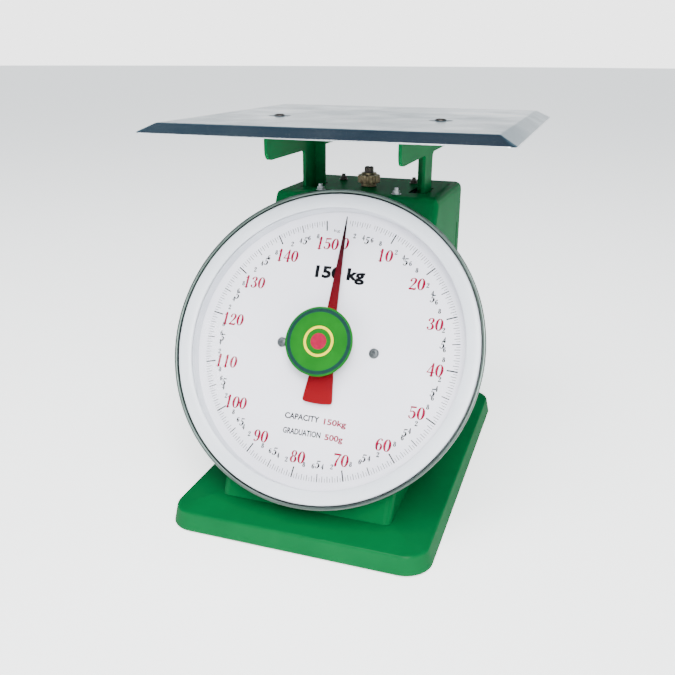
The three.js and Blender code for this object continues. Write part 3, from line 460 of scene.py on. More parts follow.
# Pale yellow metal, a little darker in patches.
BRASS = PlatedSteel("stamped_brass", "brass", "#C2A765", "#AE9152",
                    roughness=0.34, metallic=1.0, spread=0.12, cell_mm=8.0)
# A warm grey-brown shine with darker clouds.
NICKEL = PlatedSteel("aged_nickel_on_brass", "nickel", "#8F8469", "#6A604C",
                     roughness=0.32, metallic=1.0, spread=0.14, cell_mm=3.0)
# A flat, faintly cool white with no glare over the print.
DIAL_WHITE = PrintedSheet("white_enamelled_dial_sheet", "dial_enamel", "#E4E3EB", "#DEDDE6",
                          roughness=0.5, cell_mm=60.0)
# Painted reflection: the steel's dark grey-green colour stands in for the thin dark line of reflection round
# the dial.
RIM_STEEL_PAINTED_REFLECTION = PlatedSteel("steel_rim_with_painted_dark_reflection", "zinc_steel", "#5C6863", "#4C5752",
                        roughness=0.3, metallic=1.0, spread=0.1, cell_mm=30.0)
# Grey domes that barely shine.
DULL_SCREW = PlatedSteel("dull_nickel_plated_screw", "zinc_steel", "#626668", "#4C5052",
                         roughness=0.42, metallic=1.0, spread=0.12, cell_mm=3.0)
# A painted shade: a darker ring on the bright platform that stands in for the dish where the screw has pulled
# it in.
DISH_SHADE_SHEET = RolledSheet("stainless_sheet_painted_dish_shade", "stainless_sheet", "#7C8890", "#6C7880",
                         roughness=0.3, metallic=1.0, spread=0.07, cell_mm=8.0)
# A soft white with broad semi-gloss highlights.
BEZEL_WHITE = MouldedPlastic("moulded_white_abs", "white_plastic", "#CED2D9", "#C6CBD2",
                             roughness=0.32, cell_mm=45.0)
# Flat crimson with a crisp edge.
RED_INK = PrintedSheet("red_screen_ink", "dial_enamel", "#8A0630", "#7E042A", roughness=0.5, cell_mm=4.0)
# Flat black with a crisp edge.
BLACK_INK = PrintedSheet("black_screen_ink", "dial_enamel", "#08080C", "#050508", roughness=0.5, cell_mm=4.0)
# Red at the hub, with painted shade making it nearly black at the tip.
POINTER_RED_AND_SHADE = NeedleEnamel("sprayed_red_pointer_enamel_with_painted_shade", "red_enamel", "#6E040E", "#5E040E",
                           roughness=0.34, cell_mm=16.0)
# A flat mid green under the rings.
HUB_GREEN = PrintedSheet("printed_green_hub_sheet", "hub_enamel", "#0E5E16", "#0C5413",
                         roughness=0.36, cell_mm=14.0)
# A flat yellow ring.
HUB_GOLD = PrintedSheet("yellow_screen_ink", "hub_enamel", "#D8C410", "#C8B40C", roughness=0.4, cell_mm=4.0)
# A flat slate ring near the edge.
HUB_DARK = PrintedSheet("slate_screen_ink", "hub_enamel", "#14302E", "#102826", roughness=0.4, cell_mm=4.0)
# Unseen straight on, with a faint sheen at a slant.
CLEAR_GLASS = ClearPane("clear_float_glass", "clear_glass", "#FFFFFF", "#F6FAFA",
                        roughness=0.03, metallic=1.0, spread=0.03, cell_mm=60.0)
# Dull black that shows only its rounded edge.
RUBBER = MouldedRubber("moulded_black_rubber", "black_rubber", "#232325", "#1A1A1C",
                       roughness=0.78, cell_mm=4.0)


# ---- Mesh tools ----
def new_object(name: str, data: bpy.types.ID) -> Piece:
    """Puts data in the scene as an object at the origin.

    Args:
        name: the object's name.
        data: its mesh, curve, camera or light.

    Returns:
        The new object.
    """
    made = bpy.data.objects.new(name, data)
    bpy.context.scene.collection.objects.link(made)
    return made


def loose_points(name: str, spots: Sequence[Vector]) -> Piece:
    """Makes a mesh of points alone, which a tree then stands things on.

    Args:
        name: the piece's name.
        spots: the points, in metres.

    Returns:
        The new object.
    """
    mesh = bpy.data.meshes.new(name)
    mesh.from_pydata(spots, [], [])
    return new_object(name, mesh)


def mesh_piece(name: str, points: Sequence[Vector], faces: Sequence[Sequence[int]],
               place: Matrix) -> Piece:
    """Makes an object at the origin from millimetre points put in place.

    Args:
        name: the piece's name.
        points: vertices in millimetres, in the piece's own frame.
        faces: vertex numbers for each face.
        place: the piece's frame, in metres, with millimetres scaled in.

    Returns:
        The new object, with its place in its mesh and its faces turned outwards.
    """
    mesh = bpy.data.meshes.new(name)
    mesh.from_pydata([place @ Vector(p) for p in points], [], faces)
    work = bmesh.new()
    work.from_mesh(mesh)
    bmesh.ops.remove_doubles(work, verts=work.verts, dist=1e-7)
    bmesh.ops.recalc_face_normals(work, faces=work.faces)
    work.to_mesh(mesh)
    work.free()
    return new_object(name, mesh)


def settle(piece: Piece) -> Piece:
    """Turns a piece's modifiers into plain mesh and removes them.

    Args:
        piece: the object with modifiers.

    Returns:
        The same object, with none.
    """
    bpy.context.view_layer.update()
    graph = bpy.context.evaluated_depsgraph_get()
    final = bpy.data.meshes.new_from_object(piece.evaluated_get(graph), preserve_all_data_layers=True,
                                            depsgraph=graph)
    piece.modifiers.clear()
    piece.data = final
    return piece


def soften(piece: Piece, edge_mm: float = 0.0, segments: int = 3) -> Piece:
    """Rounds a piece's sharp edges, shades it smooth and keeps its flats flat.

    Args:
        piece: the object to finish.
        edge_mm: how wide the rounding is, or 0 for none.
        segments: how many faces make up the rounding.

    Returns:
        The same object as a plain mesh.
    """
    if edge_mm:
        bevel = piece.modifiers.new("edges", "BEVEL")
        bevel.width = edge_mm * MM
        bevel.segments = segments
        bevel.limit_method = "ANGLE"
        bevel.angle_limit = math.radians(38)
        bevel.miter_outer = "MITER_ARC"
        settle(piece)
    piece.data.shade_smooth()
    piece.data.set_sharp_from_angle(angle=SMOOTH_ANGLE)
    weigh = piece.modifiers.new("flats", "WEIGHTED_NORMAL")
    weigh.keep_sharp = True
    return settle(piece)


def refined(name: str, nodes: Sequence[str], edge_mm: float, segments: int = 3) -> Piece:
    """Makes one finer piece from merged copies of CAD nodes.

    Args:
        name: the new piece's name.
        nodes: the CAD nodes that it stands for.
        edge_mm: the width of its rounded edges.
        segments: faces in each rounding.

    Returns:
        The new piece, which isn't yet placed on a body.
    """
    work = bmesh.new()
    for node in nodes:
        work.from_mesh(frame["nodes"][node].data)
    bmesh.ops.remove_doubles(work, verts=work.verts, dist=2e-6)
    bmesh.ops.dissolve_limit(work, angle_limit=math.radians(0.6), verts=work.verts, edges=work.edges)
    mesh = bpy.data.meshes.new(name)
    work.to_mesh(mesh)
    work.free()
    made = new_object(name, mesh)
    soften(made, edge_mm, segments)
    return made


def hand_over(piece: Piece, body: str, finish: Finish, replaces: Sequence[str] = ()) -> Piece:
    """Gives a finished piece its material and body, and hides the CAD nodes that it stands for.

    Args:
        piece: the finished piece.
        body: the body that it rides on.
        finish: what it is made of.
        replaces: the CAD nodes that it stands for.

    Returns:
        The same piece.
    """
    piece.data.materials.clear()
    piece.data.materials.append(finish.material())
    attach(piece, body)
    if replaces:
        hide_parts(*replaces)
    log.info("%s on %s: %d faces, %s", piece.name, body, len(piece.data.polygons), finish.name)
    return piece


def rounded(corners: Sequence[Corner], steps: int = 6) -> list[Point]:
    """Rounds the corners of a closed outline.

    Args:
        corners: each corner's place and, third, its radius.
        steps: points along each rounding.

    Returns:
        The outline's points.
    """
    outline: list[Point] = []
    for i, corner in enumerate(corners):
        here = Vector(corner[:2])
        radius = corner[2] if len(corner) > 2 else 0.0
        if not radius:
            outline.append((here.x, here.y))
            continue
        back = Vector(corners[i - 1][:2]) - here
        ahead = Vector(corners[(i + 1) % len(corners)][:2]) - here
        reach = min(radius, back.length * 0.49, ahead.length * 0.49)
        start = here + back.normalized() * reach
        end = here + ahead.normalized() * reach
        for k in range(steps + 1):
            t = k / steps
            point = start * (1 - t) ** 2 + here * 2 * t * (1 - t) + end * t * t
            outline.append((point.x, point.y))
    return outline


def lathe(name: str, profile: Sequence[Point], place: Matrix, segments: int = 160) -> Piece:
    """Turns a profile of (radius, height) points about the local z axis.

    Args:
        name: the piece's name.
        profile: a closed outline, or one whose two ends lie on the axis.
        place: the piece's frame.
        segments: how many steps the turn takes.

    Returns:
        The closed piece.
    """
    on_axis = profile[0][0] == 0 and profile[-1][0] == 0
    points: list[Vector] = []
    rings: list[list[int]] = []
    for radius, height in profile:
        if radius == 0:
            rings.append([len(points)] * segments)
            points.append(Vector((0, 0, height)))
            continue
        rings.append(list(range(len(points), len(points) + segments)))
        turns = [TAU * k / segments for k in range(segments)]
        points += [Vector((radius * math.cos(a), radius * math.sin(a), height)) for a in turns]
    spans = list(zip(rings, rings[1:] if on_axis else rings[1:] + rings[:1]))
    faces = []
    for lower, upper in spans:
        for k in range(segments):
            n = (k + 1) % segments
            loop = [lower[k], lower[n], upper[n], upper[k]]
            unique = list(dict.fromkeys(loop))
            if len(unique) > 2:
                faces.append(unique)
    return mesh_piece(name, points, faces, place)


def stamped(name: str, outline: Sequence[Point], low: float, high: float, place: Matrix) -> Piece:
    """Gives a flat outline thickness along the local z axis.

    Args:
        name: the piece's name.
        outline: the flat shape, in millimetres.
        low: how high its back lies.
        high: how high its face lies.
        place: the piece's frame.

    Returns:
        The closed piece.
    """
    count = len(outline)
    points = [Vector((x, y, low)) for x, y in outline] + [Vector((x, y, high)) for x, y in outline]
    faces = [list(range(count)), list(range(count, 2 * count))]
    faces += [[k, (k + 1) % count, count + (k + 1) % count, count + k] for k in range(count)]
    return mesh_piece(name, points, faces, place)


@dataclass(frozen=True)
class PanShape:
    """A pressed pan with rounded corners, drawn from the middle of its top over the rim and back beneath."""

    half_width: float
    front: float
    back: float
    corner_radius: float
    rings: tuple[Point, ...]

    def build(self, name: str, corner_steps: int = 12) -> Piece:
        """Joins the rings, each an (inset, height), into one closed shell.

        Args:
            name: the piece's name.
            corner_steps: faces in each rounded corner.

        Returns:
            The closed pan.
        """
        points: list[Vector] = []
        for inset, height in self.rings:
            radius = max(self.corner_radius - inset, 1.5)
            x = self.half_width - inset - radius
            rear = self.back - inset - radius
            fore = self.front + inset + radius
            for quarter, (cx, cy) in enumerate([(x, rear), (-x, rear), (-x, fore), (x, fore)]):
                for k in range(corner_steps + 1):
                    angle = (quarter + k / corner_steps) * TAU / 4
                    x_at, y_at = cx + radius * math.cos(angle), cy + radius * math.sin(angle)
                    points.append(Vector((x_at, y_at, height)))
        per_ring = 4 * (corner_steps + 1)
        last = len(self.rings) - 1
        faces: list[list[int]] = [list(range(per_ring)), [last * per_ring + j for j in range(per_ring)][::-1]]
        for ring in range(last):
            for j in range(per_ring):
                n = (j + 1) % per_ring
                faces.append([ring * per_ring + j, (ring + 1) * per_ring + j,
                              (ring + 1) * per_ring + n, ring * per_ring + n])
        return mesh_piece(name, points, faces, Matrix.Scale(MM, 4))


# ---- Geometry Nodes ----
def new_tree(name: str, inputs: Sequence[tuple[str, str]]) -> tuple[Tree, Node]:
    """Starts a Geometry Nodes tree with named inputs.

    Args:
        name: the tree's name.
        inputs: each input's name and socket type.

    Returns:
        The tree and its input node.
    """
    tree = bpy.data.node_groups.new(name, "GeometryNodeTree")
    tree.interface.new_socket("Geometry", in_out="INPUT", socket_type="NodeSocketGeometry")
    for label, kind in inputs:
        tree.interface.new_socket(label, in_out="INPUT", socket_type=kind)
    tree.interface.new_socket("Geometry", in_out="OUTPUT", socket_type="NodeSocketGeometry")
    return tree, add_node(tree, "NodeGroupInput")


def end_tree(tree: Tree, shape: Socket, material: Socket) -> None:
    """Ends a tree in Realize Instances and Set Material.

    Args:
        tree: the tree to end.
        shape: its geometry so far.
        material: the material that it sets.
    """
    real = add_node(tree, "GeometryNodeRealizeInstances", {"Geometry": shape})
    dressed = add_node(tree, "GeometryNodeSetMaterial",
                       {"Geometry": real.outputs["Geometry"], "Material": material})
    add_node(tree, "NodeGroupOutput", {"Geometry": dressed.outputs["Geometry"]})


def grow(piece: Piece, tree: Tree, values: dict) -> Piece:
    """Runs a tree on a piece with these input values and leaves a plain mesh.

    Args:
        piece: the object that it runs on.
        tree: the tree.
        values: input values by name.

    Returns:
        The same object as a plain mesh.
    """
    growth = piece.modifiers.new(tree.name, "NODES")
    growth.node_group = tree
    for item in tree.interface.items_tree:
        if item.in_out == "INPUT" and item.name in values:
            growth[item.identifier] = values[item.name]
    return settle(piece)


def shared_tree(name: str, make: Callable[[], Tree]) -> Tree:
    """The tree of this name, made when it is first asked for."""
    return bpy.data.node_groups.get(name) or make()


def marks_tree() -> Tree:
    """A ring of printed marks: thin bars about the dial's centre, the first and every n-th left out.

    Returns:
        The tree.
    """
    tree, given = new_tree("dial_marks", [
        ("Count", "NodeSocketInt"), ("First turn", "NodeSocketFloat"), ("Step turn", "NodeSocketFloat"),
        ("Leave out every", "NodeSocketInt"), ("Outer radius", "NodeSocketFloat"),
        ("Length", "NodeSocketFloat"), ("Width", "NodeSocketFloat"), ("Film", "NodeSocketFloat"),
        ("Base", "NodeSocketFloat"), ("Material", "NodeSocketMaterial")])
    out = given.outputs
    size = add_node(tree, "ShaderNodeCombineXYZ", {"X": out["Width"], "Y": out["Length"], "Z": out["Film"]})
    bar = add_node(tree, "GeometryNodeMeshCube", {"Size": size.outputs["Vector"]})
    half = add_node(tree, "ShaderNodeMath", {0: out["Length"], 1: -0.5, 2: out["Outer radius"]},
                    operation="MULTIPLY_ADD")
    at = add_node(tree, "ShaderNodeCombineXYZ", {"Y": half.outputs["Value"], "Z": out["Base"]})
    placed = add_node(tree, "GeometryNodeTransform",
                      {"Geometry": bar.outputs["Mesh"], "Translation": at.outputs["Vector"]})
    points = add_node(tree, "GeometryNodePoints", {"Count": out["Count"]})
    index = add_node(tree, "GeometryNodeInputIndex")
    left = add_node(tree, "ShaderNodeMath", {0: index.outputs["Index"], 1: out["Leave out every"]},
                    operation="FLOORED_MODULO")
    keep = add_node(tree, "ShaderNodeMath", {0: left.outputs["Value"], 1: 0.5}, operation="GREATER_THAN")
    turn = add_node(tree, "ShaderNodeMath",
                    {0: index.outputs["Index"], 1: out["Step turn"], 2: out["First turn"]},
                    operation="MULTIPLY_ADD")
    back = add_node(tree, "ShaderNodeMath", {0: turn.outputs["Value"], 1: -1.0}, operation="MULTIPLY")
    spin = add_node(tree, "ShaderNodeCombineXYZ", {"Z": back.outputs["Value"]})
    ring = add_node(tree, "GeometryNodeInstanceOnPoints",
                    {"Points": points.outputs["Points"], "Selection": keep.outputs["Value"],
                     "Instance": placed.outputs["Geometry"], "Rotation": spin.outputs["Vector"]})
    end_tree(tree, ring.outputs["Instances"], out["Material"])
    return tree


def screws_tree() -> Tree:
    """A headed screw with a washer and the end of its stud, stood on every vertex of a point mesh along z.

    Returns:
        The tree.
    """
    tree, given = new_tree("set_screws", [
        ("Sides", "NodeSocketInt"), ("Head radius", "NodeSocketFloat"), ("Head height", "NodeSocketFloat"),
        ("Stud radius", "NodeSocketFloat"), ("Stud rise", "NodeSocketFloat"),
        ("Washer radius", "NodeSocketFloat"), ("Washer height", "NodeSocketFloat"),
        ("Turn", "NodeSocketFloat"), ("Material", "NodeSocketMaterial")])
    out = given.outputs
    joined = add_node(tree, "GeometryNodeJoinGeometry")
    barrels = [(out["Sides"], out["Head radius"], out["Head height"], out["Washer height"]),
               (20, out["Stud radius"], out["Stud rise"], None),
               (28, out["Washer radius"], out["Washer height"], None)]
    for sides, radius, height, under in barrels:
        barrel = add_node(tree, "GeometryNodeMeshCylinder",
                          {"Vertices": sides, "Radius": radius, "Depth": height})
        lift = add_node(tree, "ShaderNodeMath", {0: height, 1: 0.5, 2: under if under else 0.0},
                        operation="MULTIPLY_ADD")
        up = add_node(tree, "ShaderNodeCombineXYZ", {"Z": lift.outputs["Value"]})
        stood = add_node(tree, "GeometryNodeTransform",
                         {"Geometry": barrel.outputs["Mesh"], "Translation": up.outputs["Vector"]})
        tree.links.new(stood.outputs["Geometry"], joined.inputs["Geometry"])
    spin = add_node(tree, "ShaderNodeCombineXYZ", {"Z": out["Turn"]})
    stand = add_node(tree, "GeometryNodeInstanceOnPoints",
                     {"Points": out["Geometry"], "Instance": joined.outputs["Geometry"],
                      "Rotation": spin.outputs["Vector"]})
    end_tree(tree, stand.outputs["Instances"], out["Material"])
    return tree


def knurl_tree() -> Tree:
    """Presses a knurl into a round piece: its side moves in and out as it goes round the z axis.

    Returns:
        The tree.
    """
    tree, given = new_tree("knurl", [
        ("Lobes", "NodeSocketFloat"), ("Depth", "NodeSocketFloat"), ("Inner radius", "NodeSocketFloat"),
        ("Centre Y", "NodeSocketFloat"), ("Material", "NodeSocketMaterial")])
    out = given.outputs
    position = add_node(tree, "GeometryNodeInputPosition")
    split = add_node(tree, "ShaderNodeSeparateXYZ", {"Vector": position.outputs["Position"]})
    y = add_node(tree, "ShaderNodeMath", {0: split.outputs["Y"], 1: out["Centre Y"]}, operation="SUBTRACT")
    angle = add_node(tree, "ShaderNodeMath", {0: y.outputs["Value"], 1: split.outputs["X"]},
                     operation="ARCTAN2")
    waves = add_node(tree, "ShaderNodeMath", {0: angle.outputs["Value"], 1: out["Lobes"]},
                     operation="MULTIPLY")
    wave = add_node(tree, "ShaderNodeMath", {0: waves.outputs["Value"]}, operation="COSINE")
    dip = add_node(tree, "ShaderNodeMapRange",
                   {"Value": wave.outputs["Value"], "From Min": -1.0, "From Max": 0.2,
                    "To Min": -1.0, "To Max": 0.0})
    move = add_node(tree, "ShaderNodeMath", {0: dip.outputs["Result"], 1: out["Depth"]}, operation="MULTIPLY")
    outward = add_node(tree, "ShaderNodeCombineXYZ", {"X": split.outputs["X"], "Y": y.outputs["Value"]})
    length = add_node(tree, "ShaderNodeVectorMath", {0: outward.outputs["Vector"]}, operation="LENGTH")
    far = add_node(tree, "ShaderNodeMath", {0: length.outputs["Value"], 1: out["Inner radius"]},
                   operation="GREATER_THAN")
    unit = add_node(tree, "ShaderNodeVectorMath", {0: outward.outputs["Vector"]}, operation="NORMALIZE")
    offset = add_node(tree, "ShaderNodeVectorMath",
                      {0: unit.outputs["Vector"], "Scale": move.outputs["Value"]}, operation="SCALE")
    pressed = add_node(tree, "GeometryNodeSetPosition",
                       {"Geometry": out["Geometry"], "Selection": far.outputs["Value"],
                        "Offset": offset.outputs["Vector"]})
    end_tree(tree, pressed.outputs["Geometry"], out["Material"])
    return tree


# ---- Where things are ----
def joint(name: str) -> dict:
    """The frame's joint of this name."""
    return next(j for j in frame["joints"] if j["name"] == name)


def dial_place() -> Matrix:
    """The dial's own frame, from the pointer's joint: it turns about the line into the face.

    Returns:
        The frame, in metres, with millimetres scaled in.
    """
    spin = joint("pointer_spin")
    out = -Vector(spin["axis"]).normalized()
    right = Vector((1, 0, 0))
    up = out.cross(right)
    turn = Matrix((right, up, out)).transposed().to_4x4()
    return Matrix.Translation(Vector(spin["pos_m"])) @ turn @ Matrix.Scale(MM, 4)


DIAL = dial_place()
UPRIGHT = Matrix.Scale(MM, 4)


def middle(node: str) -> Vector:
    """The middle of a CAD node's box, in millimetres."""
    low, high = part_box(node)
    return (low + high) / 2 / MM


def on_axis(node: str) -> Matrix:
    """A frame on a CAD node's upright middle line, with its heights measured from the floor."""
    centre = middle(node)
    return Matrix.Translation((centre.x * MM, centre.y * MM, 0)) @ UPRIGHT


# ---- Sub-assemblies ----
@dataclass
class Base:
    """The pressed base: a battered skirt with rounded corners, a nearly flat deck, four rubber feet."""

    corner_radius: float = 25.0
    skirt_height: float = 17.6
    deck_inset: float = 34.0
    sheet: float = 1.5
    foot_radius: float = 9.0

    def pan(self) -> Piece:
        """Builds the pan with a soft shoulder between skirt and deck.

        Returns:
            The finished piece.
        """
        low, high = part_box("base_pan")
        lip, deck = low.z / MM, high.z / MM
        shoulder = self.skirt_height
        outside = rounded([(60.0, deck), (self.deck_inset, deck, 14.0), (3.4, shoulder, 2.2), (0.0, lip),
                           (-40.0, lip)], 8)[1:-1]
        inside = [(i + self.sheet, z - self.sheet) for i, z in outside[:-1]][::-1]
        rings = [*outside, (self.sheet, lip), *inside]
        shape = PanShape(high.x / MM, low.y / MM, high.y / MM, self.corner_radius, tuple(rings))
        return hand_over(soften(shape.build("base_pan_pressed")), "case", GREEN_ENAMEL, ["base_pan"])

    def foot(self, node: str) -> Piece:
        """Turns one ribbed rubber foot.

        Args:
            node: the CAD node that it stands for.

        Returns:
            The finished piece.
        """
        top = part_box(node)[1].z / MM
        r = self.foot_radius
        profile = [(0.0, 0.0), (r - 1.4, 0.0), (r - 0.3, 0.5), (r, 1.4), (r - 0.1, 2.6), (r - 0.7, 3.0),
                   (r - 0.2, 3.5), (r - 0.5, 5.4), (r - 1.6, 6.6), (4.4, 7.0), (4.0, 7.6),
                   (4.0, top), (0.0, top)]
        piece = soften(lathe(f"{node}_turned", profile, on_axis(node), 40))
        return hand_over(piece, "case", RUBBER, [node])

    def build(self) -> None:
        """Builds the base and its feet."""
        self.pan()
        for end in End:
            for hand in Hand:
                self.foot(f"foot_{end.value}_{hand.value}")


@dataclass
class Housing:
    """The leaning pressed housing with its back cover, the cover's screws and the four screws on top."""

    cover_screw_inset: float = 7.0
    screw_head_radius: float = 3.6
    screw_head_height: float = 2.6

    def shell(self) -> Piece:
        """Refines the housing's shell: its pressed edges stay round and its cut edges sharp."""
        return hand_over(refined("housing_pressed", ["housing"], 0.0), "case", GREEN_ENAMEL, ["housing"])

    def cover(self) -> Piece:
        """Refines the back cover."""
        return hand_over(refined("back_cover_pressed", ["back_cover"], 0.35), "case", GREEN_ENAMEL,
                         ["back_cover"])

    def cover_screws(self) -> Piece:
        """Stands eight pan-head screws round the back cover's edge.

        Returns:
            The finished piece.
        """
        low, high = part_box("back_cover")
        inset = self.cover_screw_inset
        x = high.x / MM - inset
        heights = [low.z / MM + inset, low.z / MM * 0.66 + high.z / MM * 0.34,
                   low.z / MM * 0.34 + high.z / MM * 0.66, high.z / MM - inset]
        face = Matrix.Translation((0, high.y, 0)) @ Matrix.Rotation(-TAU / 4, 4, "X")
        spots = [Vector((side * x * MM, -z * MM, 0.0)) for side in (-1, 1) for z in heights]
        screws = loose_points("back_cover_screws", spots)
        grow(screws, shared_tree("set_screws", screws_tree), {
            "Sides": 24, "Head radius": 3.0 * MM, "Head height": 1.1 * MM, "Stud radius": 1.2 * MM,
            "Stud rise": 0.6 * MM, "Washer radius": 3.6 * MM, "Washer height": 0.4 * MM,
            "Material": ZINC.material()})
        screws.data.transform(face)
        return hand_over(soften(screws, 0.25, 2), "case", ZINC)

    def top_screws(self, end: End, finish: Finish) -> Piece:
        """Stands one pair of the hexagon screws that hold the hanger plate.

        Args:
            end: the end of the housing that the pair stands at.
            finish: what the screws are made of.

        Returns:
            The finished piece.
        """
        nodes = [f"top_screw_{end.value}_{hand.value}" for hand in Hand]
        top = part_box("housing")[1].z
        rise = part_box(nodes[0])[1].z - top
        spots = [Vector((middle(n).x * MM, middle(n).y * MM, top + 0.0001)) for n in nodes]
        screws = loose_points(f"top_screws_{end.value}", spots)
        grow(screws, shared_tree("set_screws", screws_tree), {
            "Sides": 6, "Head radius": self.screw_head_radius * MM,
            "Head height": self.screw_head_height * MM, "Stud radius": 2.0 * MM, "Stud rise": rise - 0.0002,
            "Washer radius": 4.6 * MM, "Washer height": 0.5 * MM, "Turn": 0.35,
            "Material": finish.material()})
        return hand_over(soften(screws, 0.3, 2), "case", finish, nodes)

    def build(self) -> None:
        """Builds the housing's visible pieces."""
        self.shell()
        self.cover()
        self.cover_screws()
        self.top_screws(End.FRONT, ZINC)
        self.top_screws(End.REAR, DARK_STUD)


@dataclass
class ZeroAdjuster:
    """The knurled nut on its slotted stud, in the middle of the housing's top."""

    radius: float = 11.0
    lobes: int = 18
    neck: float = 3.5
    knurl: float = 8.0
    knurl_depth: float = 0.9

    def nut(self) -> Piece:
        """Turns the nut and presses its knurl.

        Returns:
            The finished piece.
        """
        low, high = (corner.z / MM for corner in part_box("zero_nut"))
        r = self.radius
        bore = 4.9
        foot, head = low + self.neck, low + self.neck + self.knurl
        profile = rounded([(bore, low), (7.5, low, 0.4), (7.5, foot), (r, foot, 0.9), (r, head - 0.5, 0.9),
                           (7.8, head + 0.3, 0.6), (7.3, high, 0.6), (bore, high)], 4)
        piece = lathe("zero_nut_knurled", profile, on_axis("zero_nut"), self.lobes * 12)
        grow(piece, knurl_tree(), {"Lobes": float(self.lobes), "Depth": self.knurl_depth * MM,
                                   "Inner radius": (r - 1.4) * MM, "Centre Y": middle("zero_nut").y * MM,
                                   "Material": NICKEL.material()})
        return hand_over(soften(piece), "zero_nut", NICKEL, ["zero_nut"])

    def stud(self) -> Piece:
        """Refines the slotted stud."""
        return hand_over(refined("zero_stud_turned", ["zero_stud"], 0.3, 2), "spring_hanger", DARK_STUD,
                         ["zero_stud"])

    def build(self) -> None:
        """Builds the nut and the stud."""
        self.nut()
        self.stud()


@dataclass
class DialCase:
    """The shallow round case with its rolled rim, white bezel, inner wall, glass and plate."""

    case_radius: float = 143.6
    rim_out: float = 19.0
    floor_out: float = -5.6
    bezel_radius: float = 139.6
    bezel_inner: float = 127.0
    glass_radius: float = 133.0
    glass_out: float = 12.7
    glass_thickness: float = 2.5
    plate_radius: float = 131.5

    def case(self) -> Piece:
        """Turns the case: a flat floor, a flared side and a rolled rim.

        Returns:
            The finished piece.
        """
        r, rim, back = self.case_radius, self.rim_out, self.floor_out
        floor = back + 1.3
        profile = rounded([
            (7.0, back), (r - 9.5, back, 3.0), (r - 5.2, back + 2.6, 2.0), (r - 1.7, rim - 5.0, 1.5),
            (r, rim - 3.6, 0.9), (r, rim, 1.6), (r - 2.9, rim, 1.4), (r - 3.4, rim - 3.0, 1.0),
            (r - 6.4, floor + 2.6, 2.0), (r - 10.0, floor, 2.0), (7.0, floor)], 5)
        # the case's dark grey-green steel colour is a painted reflection
        return hand_over(soften(lathe("dial_case_spun", profile, DIAL, 192)), "case", RIM_STEEL_PAINTED_REFLECTION,
                         ["dial_case"])

    def bezel(self) -> Piece:
        """Turns the bezel with a softly domed front and a small inner lip.

        Returns:
            The finished piece.
        """
        r, inner = self.bezel_radius, self.bezel_inner
        lip = self.glass_out + self.glass_thickness + 0.3
        profile = rounded([
            (inner, lip), (inner, lip + 1.3, 0.7), (inner + 1.6, lip + 2.2, 1.0),
            (inner + 4.6, lip + 3.1, 2.4), (r - 3.6, lip + 3.3, 2.6), (r, lip + 2.4, 1.6), (r, lip - 2.2),
            (self.glass_radius + 1, lip - 2.2), (self.glass_radius + 1, lip)], 6)
        return hand_over(soften(lathe("bezel_ring_moulded", profile, DIAL, 192)), "case", BEZEL_WHITE,
                         ["bezel_ring"])

    def wall(self) -> Piece:
        """Turns the white wall between the face and the glass.

        Returns:
            The finished piece.
        """
        r, top = self.bezel_inner, self.glass_out - 0.3
        profile = [(r + 1.0, 0.3), (r + 2.4, 0.3), (r + 2.4, top), (r + 0.6, top)]
        return hand_over(soften(lathe("inner_ring_moulded", profile, DIAL, 192)), "case", BEZEL_WHITE,
                         ["inner_ring"])

    def glass(self) -> Piece:
        """Turns the pane with ground edges.

        Returns:
            The finished piece.
        """
        back, r = self.glass_out, self.glass_radius
        front = back + self.glass_thickness
        profile = [(0.0, back), (r - 0.4, back), (r, back + 0.4), (r, front - 0.4), (r - 0.4, front),
                   (0.0, front)]
        return hand_over(soften(lathe("dial_glass_ground", profile, DIAL, 160)), "case", CLEAR_GLASS,
                         ["dial_glass"])

    def plate(self) -> Piece:
        """Turns the enamelled dial plate with its turned-back edge.

        Returns:
            The finished piece.
        """
        r, floor = self.plate_radius, -4.0
        profile = rounded([(6.0, 0.0), (r, 0.0, 0.6), (r, floor), (r - 1.0, floor), (r - 1.0, -1.0),
                           (6.0, -1.0)], 4)
        return hand_over(soften(lathe("dial_plate_pressed", profile, DIAL, 160)), "case", DIAL_WHITE,
                         ["dial_plate"])

    def screw(self, node: str) -> Piece:
        """Turns one of the two domed screws that hold the works, with a recess in its head.

        Args:
            node: the CAD node that it stands for.

        Returns:
            The finished piece.
        """
        x = (DIAL.inverted() @ (middle(node) * MM)).x
        at = DIAL @ Matrix.Translation((x, 0, 0))
        profile = [(0.0, -13.0), (2.0, -13.0), (2.0, 0.3), (4.2, 0.3), (4.6, 0.5), (4.55, 1.2), (4.1, 1.9),
                   (3.2, 2.4), (1.9, 2.55), (1.6, 2.4), (1.4, 1.4), (0.0, 1.3)]
        return hand_over(soften(lathe(f"{node}_turned", profile, at, 40)), "case", DULL_SCREW, [node])

    def build(self) -> None:
        """Builds the case from the back to the glass."""
        self.case()
        self.plate()
        self.wall()
        self.glass()
        self.bezel()
        for hand in Hand:
            self.screw(f"dial_screw_{hand.value}")


Stroke = tuple[tuple[float, float, float], ...]


def ring_stroke(cx: float, cy: float, rx: float, ry: float, thick: float, thin: float = 0.02) -> Stroke:
    """A closed oval whose sides are thick and whose top and bottom are thin.

    Args:
        cx: the oval's middle, across.
        cy: the oval's middle, upwards.
        rx: half its width.
        ry: half its height.
        thick: half the width of the stroke at the sides.
        thin: half its width at the top and bottom.

    Returns:
        The closed stroke.
    """
    points = []
    for k in range(17):
        angle = TAU * k / 16
        weight = thin + (thick - thin) * abs(math.cos(angle)) ** 1.3
        points.append((cx + rx * math.cos(angle), cy + ry * math.sin(angle), weight))
    return tuple(points)


